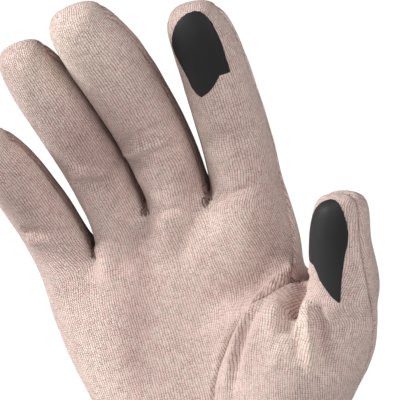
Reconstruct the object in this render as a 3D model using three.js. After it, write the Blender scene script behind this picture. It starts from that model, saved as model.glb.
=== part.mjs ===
// A right-hand wool glove, palm and fingers filled out as they are on a hand.
// Millimetres. X runs to the thumb side, -Y is the palm side, Z runs up to the fingertips.
// The middle of the open wrist edge sits at the origin.
import * as THREE from 'three';

// Cloth and seams
const WALL = 1.2;
const SEAM_GAP = 0.3;
const SEAM_DIP = 0.25;

// The body of the glove below the thumb fork, one row per section from the wrist edge up.
// z: heights at the little-finger side, at the thumb seam and at the thumb side.
// x: little-finger side, thumb seam on the palm, thumb seam line on the back, thumb side.
// y: depth of the two sides, then the palm face and the back at a quarter, half and near the thumb.
const BODY_ROWS = [
  { zU: 0, zS: 0, zR: 0, xU: -32, xS: 15, xB: 17, xR: 32, yU: 0, yR: 0,
    palm: [-23, -24.5, -23], back: [23, 24.5, 23] },
  { zU: 36, zS: 36, zR: 36, xU: -30, xS: 6, xB: 15, xR: 29.5, yU: 0, yR: 0,
    palm: [-20, -21.5, -20], back: [20, 21, 20] },
  { zU: 64, zS: 67, zR: 64, xU: -30, xS: -2, xB: 15, xR: 28, yU: 0, yR: -1,
    palm: [-19, -20, -20], back: [18, 19, 17] },
  { zU: 87, zS: 98, zR: 85, xU: -36, xS: 1, xB: 21, xR: 40.5, yU: 0, yR: -8,
    palm: [-20, -17.5, -29], back: [14.5, 15.5, 11] },
  { zU: 97, zS: 107.5, zR: 94, xU: -39.4, xS: 6.8, xB: 26, xR: 52.8, yU: 0, yR: -13,
    palm: [-18, -16.5, -34], back: [13.5, 15, 5] },
  { zU: 107, zS: 117, zR: 104, xU: -42, xS: 14.7, xB: 31, xR: 60, yU: 0, yR: -19,
    palm: [-17, -16, -36], back: [13.5, 15, 0] },
  { zU: 117, zS: 125.2, zR: 112, xU: -43.6, xS: 25, xB: 35, xR: 62.9, yU: 0, yR: -21.5,
    palm: [-16, -15.5, -34], back: [13.5, 15, 0] },
];
// Columns across the palm as far as the thumb seam, then those over the thumb and its back.
const PALM_COLUMNS = 12;
const THUMB_COLUMNS = 5;
const THUMB_BACK_COLUMNS = 3;
// Places of the columns between the thumb seam and the thumb side, as shares of the way.
const THUMB_SHARES = [0, 0.09, 0.19, 0.32, 0.5, 0.74];
// The thumb panel begins above this row; the wrist below it is cut in one with the palm.
const WRIST_ROW = 2;
// How square a section across the hand is: its flatness and the roundness of its sides.
const SECTION_FLAT = 3;
const SECTION_ROUND = 2.4;
// Share of the width between a side corner and the first corner on a face.
const EDGE = 0.045;

// The ring where the thumb forks off, and the rings between it and the fingers.
const HAND_ROWS = [
  { zU: 126, zM: 127.5, zR: 126.8, xU: -44.8, xR: 38.8, yU: 0, yR: -4,
    palm: [-15, -14.5, -14], back: [13.5, 14.5, 10] },
  { zU: 137, zM: 139, zR: 137, xU: -45.3, xR: 39.7, yU: 0, yR: 5,
    palm: [-14, -14, -14], back: [13, 14, 12] },
];
const FORK = { front: [37.6, -13, 126.4], side: [38.5, -5, 123], back: [37, 3, 126.5] };

// Fingers: centre of the root, sideways spread, bend of the three joints, their lengths,
// half widths and half depths at the root, the two joints and the tip.
const FINGERS = [
  { name: 'little', x: -32.7, y: -1, z: 148, spread: -6, bend: [14, 30, 44], bones: [16, 21, 22],
    rings: [0.1, 0.3, 0.52, 0.74],
    wide: [9.8, 9.7, 9.6, 9.0], deep: [9.4, 9.2, 8.6, 7.8] },
  { name: 'ring', x: -12.0, y: 0, z: 155, spread: -4.2, bend: [15, 28, 38], bones: [21, 27, 26],
    rings: [0.08, 0.28, 0.52, 0.76],
    wide: [9.5, 9.9, 10.2, 9.6], deep: [9.8, 9.6, 9.1, 8.2] },
  { name: 'middle', x: 7.9, y: 0, z: 157, spread: -2.2, bend: [9, 33, 46], bones: [22, 30, 29],
    rings: [0.075, 0.24, 0.43, 0.61, 0.79],
    wide: [9.8, 11.0, 11.9, 10.8], deep: [10.2, 10.2, 9.6, 8.8] },
  { name: 'index', x: 28.6, y: 0, z: 152, spread: 6.9, bend: [8, 22, 34], bones: [21, 25, 24],
    rings: [0.085, 0.26, 0.46, 0.63, 0.81],
    wide: [10.5, 10.8, 10.3, 9.6], deep: [10.2, 9.9, 9.2, 8.3] },
];
// Share of the width that a fingertip keeps at its last ring and at its seam, how far the last
// ring lies below the tip, and the length over which a joint bends.
const TIP_SHRINK = 0.84;
const TIP_SEAM_SHARE = 0.45;
const TIP_RING_BELOW = 5;
const JOINT_SPAN = 12;
// Forks between the fingers, little finger side first: front, side and back height.
const FINGER_FORKS = [
  { x: -22.1, zF: 149.5, zS: 149.5, zB: 153.5 },
  { x: -2.3, zF: 161, zS: 161, zB: 164 },
  { x: 17.4, zF: 158, zS: 158, zB: 161.5 },
];
// Depth of the forks in front and behind, and how far the root of a finger stands out and up
// from the hand on the palm face and on the back.
const FORK_DEPTH = { front: -7.5, back: 9 };
const ROOT_PALM = { out: 1.5, up: -1 };
const ROOT_BACK = { out: 1, up: 3 };
// Depth of the outermost finger's side at its root.
const ROOT_SIDE_DEPTH = 3;
// The thumb: centres of its rings from the fork to the tip, half width and half depth.
const THUMB_ROWS = [
  { x: 53.8, y: -22, z: 119, wide: 10.9, deep: 11.1, tilt: 18 },
  { x: 56.7, y: -24.5, z: 128, wide: 9.7, deep: 9.8, tilt: 12 },
  { x: 58.5, y: -26.5, z: 136, wide: 8.9, deep: 9.0, tilt: 8 },
  { x: 61.4, y: -28, z: 142.3, wide: 8.9, deep: 8.9, tilt: 8 },
  { x: 62.9, y: -29, z: 147.2, wide: 7.7, deep: 7.5, tilt: 8 },
];
const THUMB_TIP = { x: 63.6, y: -29.6, z: 151.1, wide: 4.5, tilt: 10 };
// Degrees by which the pad of the thumb turns towards the fingers.
const THUMB_PAD_TURN = -27;

// Degrees from the pad of a finger to the palm panel's seam and to the back panel's seam,
// at the root and at the tip.
const SEAM_FRONT = [76, 96];
const SEAM_BACK = [138, 120];
// The outermost finger has no strip on the thumb side: its seam there, and the seam's place
// below the root of the finger.
const SEAM_OUTSIDE = 110;
const HAND_SEAM = [40.4, -1.5, 137];
// Places of the columns around the thumb, in degrees from the pad.
const THUMB_TURNS = [-60, -38, -14, 11, 34, 56, 80, 119, 159, 198, 235, 270];
const degrees = Math.PI / 180;

function mix(a, b, t) {
  return a + (b - a) * t;
}

// Value of a short list spread evenly from 0 to 1.
function along(list, t) {
  const s = Math.min(Math.max(t, 0), 1) * (list.length - 1);
  const i = Math.min(Math.floor(s), list.length - 2);
  const f = s - i;
  const p0 = list[Math.max(i - 1, 0)];
  const p1 = list[i];
  const p2 = list[i + 1];
  const p3 = list[Math.min(i + 2, list.length - 1)];
  return p1 + 0.5 * f * (p2 - p0 + f * (2 * p0 - 5 * p1 + 4 * p2 - p3 + f * (3 * (p1 - p2) + p3 - p0)));
}

// The frame: corners and four-sided faces, each face carrying the name of its cloth piece.
const frame = { points: [], faces: [], pieces: [] };

function corner(x, y, z) {
  frame.points.push(new THREE.Vector3(x, y, z));
  return frame.points.length - 1;
}

function face(corners, piece) {
  frame.faces.push(corners);
  frame.pieces.push(piece);
}

// Depth of a section at a share u of its width: three depths, rounded off at both sides.
function sectionDepth(row, list, u) {
  const flat = along([list[0], list[0], list[1], list[2], list[2]], u);
  const side = mix(row.yU, row.yR, u);
  const round = Math.pow(1 - Math.pow(Math.abs(2 * u - 1), SECTION_FLAT), 1 / SECTION_ROUND);
  return side + (flat - side) * round;
}

function bodyRing(row) {
  const width = row.xR - row.xU;
  const seamShare = (row.xS - row.xU) / width;
  const backShare = (row.xB - row.xU) / width;
  const front = [];
  const back = [];
  for (let column = 0; column <= PALM_COLUMNS + THUMB_COLUMNS; column += 1) {
    const toSeam = column <= PALM_COLUMNS;
    const past = toSeam ? 0 : THUMB_SHARES[column - PALM_COLUMNS] / THUMB_SHARES[THUMB_COLUMNS];
    const t = toSeam ? column / PALM_COLUMNS : past;
    const u = toSeam ? mix(EDGE, seamShare, t) : mix(seamShare, 1 - 2 * EDGE, t);
    const z = toSeam ? mix(row.zU, row.zS, t) : mix(row.zS, row.zR, t);
    front.push(corner(row.xU + width * u, sectionDepth(row, row.palm, u), z));
  }
  for (let column = 0; column <= PALM_COLUMNS + THUMB_BACK_COLUMNS; column += 1) {
    const toSeam = column <= PALM_COLUMNS;
    const t = toSeam ? column / PALM_COLUMNS : (column - PALM_COLUMNS) / THUMB_BACK_COLUMNS;
    const u = toSeam ? mix(EDGE, backShare, t) : mix(backShare, 1 - EDGE, t);
    back.push(corner(row.xU + width * u, sectionDepth(row, row.back, u), mix(row.zU, row.zR, u)));
  }
  const sideR = corner(row.xR, row.yR, row.zR);
  const sideU = corner(row.xU, row.yU, row.zU);
  return { front, back, sideR, sideU };
}

function loop(ring) {
  return [...ring.front, ring.sideR, ...[...ring.back].reverse(), ring.sideU];
}

// Corner of a ring across a finger, at a turn in degrees from its pad.
function tubePoint(place, wide, deep, turn) {
  const at = place.centre.clone();
  at.addScaledVector(place.sideways, Math.sin(turn * degrees) * wide);
  at.addScaledVector(place.pad, Math.cos(turn * degrees) * deep);
  return corner(at.x, at.y, at.z);
}

// How far a corner stands out, so that the rounded section comes to its true size.
function settleOf(turns, k) {
  const count = turns.length;
  const before = turns[k] - turns[(k + count - 1) % count];
  const after = turns[(k + 1) % count] - turns[k];
  return 6 / (4 + Math.cos(before * degrees) + Math.cos(after * degrees));
}

// Places of the ten columns around a finger at a share of its length, in degrees from the pad.
function ringTurns(share, outermost) {
  const front = mix(SEAM_FRONT[0], SEAM_FRONT[1], share);
  const back = mix(SEAM_BACK[0], SEAM_BACK[1], share);
  const right = outermost ? SEAM_OUTSIDE : front;
  const step = (front + right) / 3;
  const pads = [-front, step - front, 2 * step - front, right];
  const third = (180 - back) / 3;
  const backs = [back, 180 - third, 180 + third, 360 - back];
  return [...pads, (right + back) / 2, ...backs, 360 - (front + back) / 2];
}

// Closes the last ring of a finger with a seam line from side to side over the tip.
function closeTip(ring, m1, m2, palmPiece, backPiece) {
  const sR = ring[ring.length - 6];
  const [b3, b2, b1, b0, sU] = ring.slice(-5);
  const front = ring.slice(0, -6);
  const last = front.length - 1;
  face([sU, front[0], front[1], m1], palmPiece);
  face([m1, ...front.slice(1, last), m2], palmPiece);
  face([m2, front[last - 1], front[last], sR], palmPiece);
  face([sR, b3, b2, m2], backPiece);
  face([m2, b2, b1, m1], backPiece);
  face([m1, b1, b0, sU], backPiece);
}

function joinRings(low, high, pieceOf) {
  for (let k = 0; k < low.length; k += 1) {
    const n = (k + 1) % low.length;
    face([low[k], low[n], high[n], high[k]], pieceOf(k));
  }
}

// Lower body
const bodyRings = BODY_ROWS.map(bodyRing);
const BODY_LOOP = loop(bodyRings[0]).length;

function bodyPiece(k, row) {
  if (k < PALM_COLUMNS || k === BODY_LOOP - 1) {
    return 'palm_panel';
  }
  if (k <= PALM_COLUMNS + THUMB_COLUMNS) {
    return row < WRIST_ROW ? 'palm_panel' : 'thumb_panel';
  }
  return 'back_panel';
}
for (let r = 0; r + 1 < bodyRings.length; r += 1) {
  joinRings(loop(bodyRings[r]), loop(bodyRings[r + 1]), (k) => bodyPiece(k, r));
}

// Upper body
function handRing(row, forked) {
  const width = row.xR - row.xU;
  const front = [];
  const back = [];
  for (let column = 0; column <= PALM_COLUMNS; column += 1) {
    const u = mix(EDGE, 1 - EDGE, column / PALM_COLUMNS);
    const z = along([row.zU, row.zM, row.zR], u);
    const last = column === PALM_COLUMNS;
    const x = row.xU + width * u;
    const frontEnd = forked ? FORK.front : HAND_SEAM;
    const frontPlace = last ? frontEnd : [x, sectionDepth(row, row.palm, u), z];
    const backPlace = last && forked ? FORK.back : [x, sectionDepth(row, row.back, u), z];
    front.push(corner(...frontPlace));
    back.push(corner(...backPlace));
  }
  const sideR = forked ? corner(...FORK.side) : corner(row.xR, row.yR, row.zR);
  const sideU = corner(row.xU, row.yU, row.zU);
  return { front, back, sideR, sideU };
}
const handRings = HAND_ROWS.map((row, i) => handRing(row, i === 0));

// Thumb
function thumbRing(row) {
  const turn = THUMB_PAD_TURN * degrees;
  const tilt = row.tilt * degrees;
  const flat = new THREE.Vector3(Math.cos(turn), Math.sin(turn), 0).multiplyScalar(Math.cos(tilt));
  const sideways = flat.add(new THREE.Vector3(0, 0, -Math.sin(tilt)));
  const pad = new THREE.Vector3(Math.sin(turn), -Math.cos(turn), 0);
  return { centre: new THREE.Vector3(row.x, row.y, row.z), sideways, pad };
}
// The lowest thumb ring shares its first and last two corners with the hand at the fork.
const THUMB_LAST = THUMB_TURNS.length - 1;
const forkCorners = new Map([
  [0, handRings[0].front[PALM_COLUMNS]],
  [THUMB_LAST - 1, handRings[0].back[PALM_COLUMNS]],
  [THUMB_LAST, handRings[0].sideR],
]);
const thumbRings = THUMB_ROWS.map((row, i) => {
  const place = thumbRing(row);
  return THUMB_TURNS.map((turn, k) => {
    if (i === 0 && forkCorners.has(k)) {
      return forkCorners.get(k);
    }
    const out = settleOf(THUMB_TURNS, k);
    return tubePoint(place, row.wide * out, row.deep * out, turn);
  });
});
const thumbPiece = (k) => (k <= THUMB_COLUMNS || k === THUMB_LAST ? 'thumb_panel' : 'back_panel');
for (let r = 0; r + 1 < thumbRings.length; r += 1) {
  joinRings(thumbRings[r], thumbRings[r + 1], thumbPiece);
}
const thumbTop = thumbRing(THUMB_TIP);
closeTip(
  thumbRings[thumbRings.length - 1],
  tubePoint(thumbTop, THUMB_TIP.wide, 0, -90),
  tubePoint(thumbTop, THUMB_TIP.wide, 0, 90),
  'thumb_panel',
  'back_panel',
);

// The split ring joins the lower body to the hand and the thumb.
const thumbSide = THUMB_COLUMNS + 1;
const thumbBack = thumbRings[0].slice(thumbSide + 1, thumbSide + 1 + THUMB_BACK_COLUMNS);
const split = {
  front: [...handRings[0].front, ...thumbRings[0].slice(1, thumbSide)],
  back: [...handRings[0].back, ...thumbBack.reverse()],
  sideR: thumbRings[0][thumbSide],
  sideU: handRings[0].sideU,
};
joinRings(loop(bodyRings[bodyRings.length - 1]), loop(split), (k) => bodyPiece(k, bodyRings.length));

// Middle, sideways way and pad way of a finger at a distance s from its root.
function fingerPlace(finger, s) {
  const spread = finger.spread * degrees;
  const sideways = new THREE.Vector3(Math.cos(spread), 0, -Math.sin(spread));
  const upright = new THREE.Vector3(Math.sin(spread), 0, Math.cos(spread));
  const ways = finger.bend.map((bend) => {
    const way = upright.clone().multiplyScalar(Math.cos(bend * degrees));
    way.y -= Math.sin(bend * degrees);
    return way;
  });
  const centre = new THREE.Vector3(finger.x, finger.y, finger.z);
  let rest = s;
  for (let i = 0; i < 3; i += 1) {
    const step = i < 2 ? Math.min(rest, finger.bones[i]) : rest;
    centre.addScaledVector(ways[i], step);
    rest -= step;
    if (rest <= 0) {
      break;
    }
  }
  const past = (joint) => Math.min(1, Math.max(0, (s - joint) / JOINT_SPAN + 0.5));
  const first = past(finger.bones[0]);
  const second = past(finger.bones[0] + finger.bones[1]);
  const run = ways[0].clone().multiplyScalar(1 - first);
  run.addScaledVector(ways[1], first * (1 - second));
  run.addScaledVector(ways[2], first * second);
  const pad = new THREE.Vector3().crossVectors(sideways, run).normalize();
  return { centre, sideways, pad };
}

// Half width or half depth of a finger at a distance s from its root.
function sizeAt(finger, list, s) {
  let start = 0;
  for (let i = 0; i < finger.bones.length; i += 1) {
    const length = finger.bones[i];
    if (s <= start + length) {
      return mix(list[i], list[i + 1], (s - start) / length);
    }
    start += length;
  }
  return list[list.length - 1];
}

// Root ring of the fingers: three columns to a finger, with a fork between two fingers.
const FINGER_COLUMNS = 3;
// Columns of a ring round a finger beyond its palm face: the side, then the back.
const SIDE_COLUMN = FINGER_COLUMNS + 1;
const LAST_BACK = 2 * FINGER_COLUMNS + 2;
const rootFront = [];
const rootBack = [];
for (let column = 0; column <= PALM_COLUMNS; column += 1) {
  const which = Math.min(Math.floor(column / FINGER_COLUMNS), FINGERS.length - 1);
  const local = column - which * FINGER_COLUMNS;
  const finger = FINGERS[which];
  const fork = local === 0 && which > 0 ? FINGER_FORKS[which - 1] : null;
  const rootTurns = ringTurns(0, which === FINGERS.length - 1);
  if (fork) {
    rootFront.push(corner(fork.x, FORK_DEPTH.front, fork.zF));
    rootBack.push(corner(fork.x, FORK_DEPTH.back, fork.zB));
  } else {
    const turn = rootTurns[local] * degrees;
    const out = settleOf(rootTurns, local);
    const x = finger.x + Math.sin(turn) * finger.wide[0] * out;
    const y = finger.y - Math.cos(turn) * finger.deep[0] * out;
    rootFront.push(corner(x, y - ROOT_PALM.out, finger.z + ROOT_PALM.up));
    const backTurn = rootTurns[LAST_BACK - local] * degrees;
    const backX = finger.x + Math.sin(backTurn) * finger.wide[0];
    const backY = finger.y - Math.cos(backTurn) * finger.deep[0];
    rootBack.push(corner(backX, backY + ROOT_BACK.out, finger.z + ROOT_BACK.up));
  }
}
const rootSides = FINGER_FORKS.map((fork) => corner(fork.x, 0, fork.zS));
const outer = FINGERS[FINGERS.length - 1];
const rootOut = settleOf(ringTurns(0, false), SIDE_COLUMN);
const rootSideU = corner(FINGERS[0].x - FINGERS[0].wide[0] * rootOut, 0, FINGERS[0].z);
const rootSideR = corner(outer.x + outer.wide[0] * rootOut, ROOT_SIDE_DEPTH, outer.z);
const rootRing = { front: rootFront, back: rootBack, sideR: rootSideR, sideU: rootSideU };

const HAND_LOOP = loop(rootRing).length;
const upperPiece = (k) => (k < PALM_COLUMNS || k === HAND_LOOP - 1 ? 'palm_panel' : 'back_panel');
joinRings(loop(handRings[0]), loop(handRings[1]), upperPiece);
joinRings(loop(handRings[1]), loop(rootRing), upperPiece);

function lengthOf(finger) {
  return finger.bones.reduce((sum, bone) => sum + bone, 0);
}

// Fingers: the side strips, little finger side first, then each finger from its root ring up.
const FOURCHETTES = ['fourchette_ring_little', 'fourchette_middle_ring', 'fourchette_index_middle'];
FINGERS.forEach((finger, i) => {
  const first = FINGER_COLUMNS * i;
  const f = rootFront.slice(first, first + FINGER_COLUMNS + 1);
  const b = rootBack.slice(first, first + FINGER_COLUMNS + 1);
  const outermost = i === FINGERS.length - 1;
  const sideU = i === 0 ? rootSideU : rootSides[i - 1];
  const sideR = outermost ? rootSideR : rootSides[i];
  let low = [...f, sideR, ...b.reverse(), sideU];
  const total = lengthOf(finger);
  const stations = finger.rings.map((share) => share * total);
  stations.push(total - TIP_RING_BELOW);
  const pieceOf = (k) => {
    if (k < 3) {
      return 'palm_panel';
    }
    if (k === 3 || k === 4) {
      return outermost ? 'back_panel' : FOURCHETTES[i];
    }
    if (k < 8) {
      return 'back_panel';
    }
    if (i === 0) {
      return k === 8 ? 'back_panel' : 'palm_panel';
    }
    return FOURCHETTES[i - 1];
  };
  stations.forEach((s, n) => {
    const place = fingerPlace(finger, s);
    const shrink = n === stations.length - 1 ? TIP_SHRINK : 1;
    const wide = sizeAt(finger, finger.wide, s) * shrink;
    const deep = sizeAt(finger, finger.deep, s) * shrink;
    const turns = ringTurns(s / total, outermost);
    const ring = turns.map((turn, k) => {
      const out = settleOf(turns, k);
      return tubePoint(place, wide * out, deep * out, turn);
    });
    joinRings(low, ring, pieceOf);
    low = ring;
  });
  const top = fingerPlace(finger, total);
  const tipHalf = finger.wide[finger.wide.length - 1] * TIP_SEAM_SHARE;
  closeTip(
    low,
    tubePoint(top, tipHalf, 0, -90),
    tubePoint(top, tipHalf, 0, 90),
    'palm_panel',
    'back_panel',
  );
});

// Rounds the frame once: every face gives four, every corner moves to a rounded place.
function roundOnce(mesh) {
  const points = mesh.points.map((p) => p.clone());
  const edges = new Map();
  const key = (a, b) => (a < b ? `${a},${b}` : `${b},${a}`);
  const faceCentre = mesh.faces.map((f) => {
    const c = new THREE.Vector3();
    f.forEach((i) => c.add(mesh.points[i]));
    return c.multiplyScalar(1 / f.length);
  });
  mesh.faces.forEach((f, n) => {
    for (let k = 0; k < f.length; k += 1) {
      const id = key(f[k], f[(k + 1) % f.length]);
      if (!edges.has(id)) {
        edges.set(id, { a: f[k], b: f[(k + 1) % f.length], sides: [] });
      }
      edges.get(id).sides.push(n);
    }
  });
  const centreAt = faceCentre.map((c) => points.push(c) - 1);
  const around = mesh.points.map(() => ({ faces: [], edges: [], open: [] }));
  mesh.faces.forEach((f, n) => f.forEach((i) => around[i].faces.push(n)));
  edges.forEach((edge) => {
    const middle = mesh.points[edge.a].clone().add(mesh.points[edge.b]).multiplyScalar(0.5);
    edge.middle = middle;
    const place = middle.clone();
    if (edge.sides.length === 2) {
      const across = faceCentre[edge.sides[0]].clone().lerp(faceCentre[edge.sides[1]], 0.5);
      place.lerp(across, 0.5);
    }
    edge.at = points.push(place) - 1;
    [edge.a, edge.b].forEach((i) => {
      around[i].edges.push(edge);
      if (edge.sides.length === 1) {
        around[i].open.push(edge);
      }
    });
  });
  mesh.points.forEach((p, i) => {
    const near = around[i];
    if (near.open.length > 0) {
      points[i] = p.clone().multiplyScalar(0.75);
      near.open.forEach((edge) => {
        const other = edge.a === i ? edge.b : edge.a;
        points[i].addScaledVector(mesh.points[other], 0.125);
      });
      return;
    }
    const n = near.faces.length;
    const f = new THREE.Vector3();
    near.faces.forEach((k) => f.addScaledVector(faceCentre[k], 1 / n));
    const e = new THREE.Vector3();
    near.edges.forEach((edge) => e.addScaledVector(edge.middle, 1 / n));
    points[i] = f.addScaledVector(e, 2).addScaledVector(p, n - 3).multiplyScalar(1 / n);
  });
  const faces = [];
  const pieces = [];
  mesh.faces.forEach((f, n) => {
    for (let k = 0; k < f.length; k += 1) {
      const before = edges.get(key(f[(k + f.length - 1) % f.length], f[k])).at;
      const after = edges.get(key(f[k], f[(k + 1) % f.length])).at;
      faces.push([f[k], after, centreAt[n], before]);
      pieces.push(mesh.pieces[n]);
    }
  });
  return { points, faces, pieces };
}

// Places of all corners on the rounded surface.
function settle(mesh) {
  const around = mesh.points.map(() => ({ faces: [], ring: new Set(), corners: [], open: false }));
  const count = new Map();
  const key = (a, b) => (a < b ? `${a},${b}` : `${b},${a}`);
  mesh.faces.forEach((f, n) => {
    for (let k = 0; k < 4; k += 1) {
      const near = around[f[k]];
      near.faces.push(n);
      near.ring.add(f[(k + 1) % 4]);
      near.ring.add(f[(k + 3) % 4]);
      near.corners.push(f[(k + 2) % 4]);
      const id = key(f[k], f[(k + 1) % 4]);
      count.set(id, (count.get(id) || 0) + 1);
    }
  });
  mesh.faces.forEach((f) => {
    for (let k = 0; k < 4; k += 1) {
      if (count.get(key(f[k], f[(k + 1) % 4])) === 1) {
        around[f[k]].open = true;
        around[f[(k + 1) % 4]].open = true;
      }
    }
  });
  const places = mesh.points.map((p, i) => {
    const near = around[i];
    if (near.open) {
      return p.clone();
    }
    const n = near.faces.length;
    const place = p.clone().multiplyScalar(n * n);
    near.ring.forEach((k) => place.addScaledVector(mesh.points[k], 4));
    near.corners.forEach((k) => place.add(mesh.points[k]));
    return place.multiplyScalar(1 / (n * (n + 5)));
  });
  return places;
}

// Outward ways of all corners.
function outwardWays(places, faces) {
  const ways = places.map(() => new THREE.Vector3());
  faces.forEach((f) => {
    const across = places[f[2]].clone().sub(places[f[0]]);
    const up = places[f[3]].clone().sub(places[f[1]]);
    const out = across.cross(up);
    f.forEach((i) => ways[i].add(out));
  });
  ways.forEach((w) => w.normalize());
  return ways;
}

// Folds of the worn cloth on the palm side: height (minus for a furrow), half width,
// and the line from, via and to, each as x and z.
const FOLDS = [
  { name: 'ridge beside the thumb seam', high: 1.0, wide: 1.7,
    from: [33, 125.6], via: [21.5, 119.3], to: [4.5, 97] },
  { name: 'furrow of the thumb seam', high: -1.1, wide: 1.5,
    from: [30, 123.6], via: [20.6, 115.3], to: [7.5, 96] },
  { name: 'swell of the thumb ball', high: 1.2, wide: 2.6,
    from: [33.5, 122.8], via: [25.8, 115.7], to: [13.5, 99] },
  { name: 'lip of the deep fold', high: 1.0, wide: 2.3,
    from: [35.4, 124], via: [32.2, 117.5], to: [26.5, 108] },
  { name: 'deep fold from the fork', high: -3.6, wide: 3.0,
    from: [42.3, 127.5], via: [39.7, 120.6], to: [33.5, 113] },
  { name: 'ridge at the foot of the thumb', high: 1.2, wide: 1.7,
    from: [45, 126], via: [41.6, 118], to: [34.5, 106.5] },
  { name: 'furrow under the ridge', high: -1.2, wide: 1.7,
    from: [40.8, 118], via: [38.9, 113.3], to: [35.4, 105] },
  { name: 'band up the thumb', high: 1.4, wide: 1.8,
    from: [43.6, 119.5], via: [42.4, 110], to: [39.2, 99.5] },
  { name: 'long thumb furrow', high: -1.8, wide: 2.1,
    from: [47.2, 120], via: [45.6, 111], to: [42.2, 98.5] },
  { name: 'middle finger crease', high: -0.5, wide: 1.6,
    from: [-4, 174], via: [7, 174.5], to: [18, 175] },
  { name: 'ring finger crease', high: -0.5, wide: 1.6,
    from: [-20, 174.5], via: [-13, 173], to: [-4, 170] },
  { name: 'little finger crease', high: -0.4, wide: 1.5,
    from: [-40, 164.5], via: [-36, 163], to: [-28, 161.5] },
  { name: 'index finger crease', high: -0.4, wide: 1.6,
    from: [22, 175], via: [32, 174], to: [41, 172.6] },
  { name: 'hollow under the middle fork', high: -0.8, wide: 3.6,
    from: [-5, 158], via: [-8.6, 151], to: [-11.6, 143] },
  { name: 'hollow under the index fork', high: -0.8, wide: 3.6,
    from: [15.5, 157], via: [13, 151], to: [9, 144] },
];
const FOLD_STEPS = 14;
// A fold rises from this share of its height over these shares of its length, and fades out.
const FOLD_START = { share: 0.25, over: 0.15 };
const FOLD_END = { share: 0.1, over: 0.25 };
// Folds lie on the palm side and fade round the edge of the hand.
const PALM_SIDE = { limit: 0.25, fade: 0.4 };

// Place on a fold's curved line at a share t of its length.
function foldSpot(fold, t) {
  return fold.via.map((value, k) => {
    const pull = 2 * value - (fold.from[k] + fold.to[k]) / 2;
    return fold.from[k] * (1 - t) * (1 - t) + 2 * pull * t * (1 - t) + fold.to[k] * t * t;
  });
}

// Height of all folds at a place on the palm side.
function foldHeight(place, way) {
  const facing = Math.min(Math.max((PALM_SIDE.limit - way.y) / PALM_SIDE.fade, 0), 1);
  if (facing === 0) {
    return 0;
  }
  let height = 0;
  FOLDS.forEach((fold) => {
    let nearest = Infinity;
    let share = 0;
    for (let n = 0; n <= FOLD_STEPS; n += 1) {
      const t = n / FOLD_STEPS;
      const spot = foldSpot(fold, t);
      const away = Math.hypot(place.x - spot[0], place.z - spot[1]);
      if (away < nearest) {
        nearest = away;
        share = t;
      }
    }
    const start = FOLD_START.share + share / FOLD_START.over;
    const end = FOLD_END.share + (1 - share) / FOLD_END.over;
    const taper = Math.min(1, start, end);
    height += fold.high * taper * Math.exp(-((nearest / fold.wide) ** 2));
  });
  return height * facing;
}

// The wrist edge lies below this height and isn't sewn to anything.
const HEM_HEIGHT = 0.01;
// Least share for drawing a corner back where two seams meet.
const CORNER_SHARE = 0.35;

// One cloth piece: the faces of its name, drawn back from its seams and given the wall.
function clothBody(cloth, name) {
  const faces = cloth.faces.filter((f, n) => cloth.pieces[n] === name);
  const edges = new Map();
  const key = (a, b) => (a < b ? `${a},${b}` : `${b},${a}`);
  faces.forEach((f) => {
    for (let k = 0; k < 4; k += 1) {
      const id = key(f[k], f[(k + 1) % 4]);
      if (!edges.has(id)) {
        edges.set(id, []);
      }
      edges.get(id).push({ a: f[k], b: f[(k + 1) % 4] });
    }
  });
  const rim = [...edges.values()].filter((uses) => uses.length === 1).map((uses) => uses[0]);
  const draws = new Map();
  rim.forEach(({ a, b }) => {
    const hem = cloth.places[a].z < HEM_HEIGHT && cloth.places[b].z < HEM_HEIGHT;
    if (hem) {
      return;
    }
    const run = cloth.places[b].clone().sub(cloth.places[a]);
    [a, b].forEach((i) => {
      const inward = cloth.ways[i].clone().cross(run).normalize();
      if (!draws.has(i)) {
        draws.set(i, []);
      }
      draws.get(i).push(inward);
    });
  });
  const outer = new Map();
  const inner = new Map();
  const used = new Set(faces.flat());
  const points = [];
  used.forEach((i) => {
    const place = cloth.places[i].clone();
    const inwards = draws.get(i) || [];
    if (inwards.length === 1) {
      place.addScaledVector(inwards[0], SEAM_GAP / 2);
    }
    if (inwards.length > 1) {
      const sum = inwards.reduce((total, way) => total.add(way), new THREE.Vector3());
      const share = Math.max(1 + inwards[0].dot(inwards[1]), CORNER_SHARE);
      place.addScaledVector(sum, SEAM_GAP / 2 / share);
    }
    if (inwards.length > 0) {
      place.addScaledVector(cloth.ways[i], -SEAM_DIP);
    }
    outer.set(i, points.push(place) - 1);
    inner.set(i, points.push(place.clone().addScaledVector(cloth.ways[i], -WALL)) - 1);
  });
  const triangles = [];
  const quad = (a, b, c, d) => pushQuad(points, triangles, a, b, c, d);
  faces.forEach(([a, b, c, d]) => {
    quad(outer.get(a), outer.get(b), outer.get(c), outer.get(d));
    quad(inner.get(d), inner.get(c), inner.get(b), inner.get(a));
  });
  rim.forEach(({ a, b }) => quad(outer.get(b), outer.get(a), inner.get(a), inner.get(b)));
  return solid(points, triangles);
}

// Two triangles for a four-sided face, split along its shorter way.
function splitQuad(points, a, b, c, d) {
  if (points[a].distanceTo(points[c]) < points[b].distanceTo(points[d])) {
    return [[a, b, c], [a, c, d]];
  }
  return [[a, b, d], [b, c, d]];
}

function pushQuad(points, triangles, a, b, c, d) {
  splitQuad(points, a, b, c, d).forEach((three) => triangles.push(...three));
}

function solid(points, triangles) {
  const geometry = new THREE.BufferGeometry();
  const flat = points.flatMap((p) => [p.x, p.y, p.z]);
  geometry.setAttribute('position', new THREE.Float32BufferAttribute(flat, 3));
  geometry.setIndex(triangles);
  geometry.computeVertexNormals();
  return geometry;
}

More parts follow.
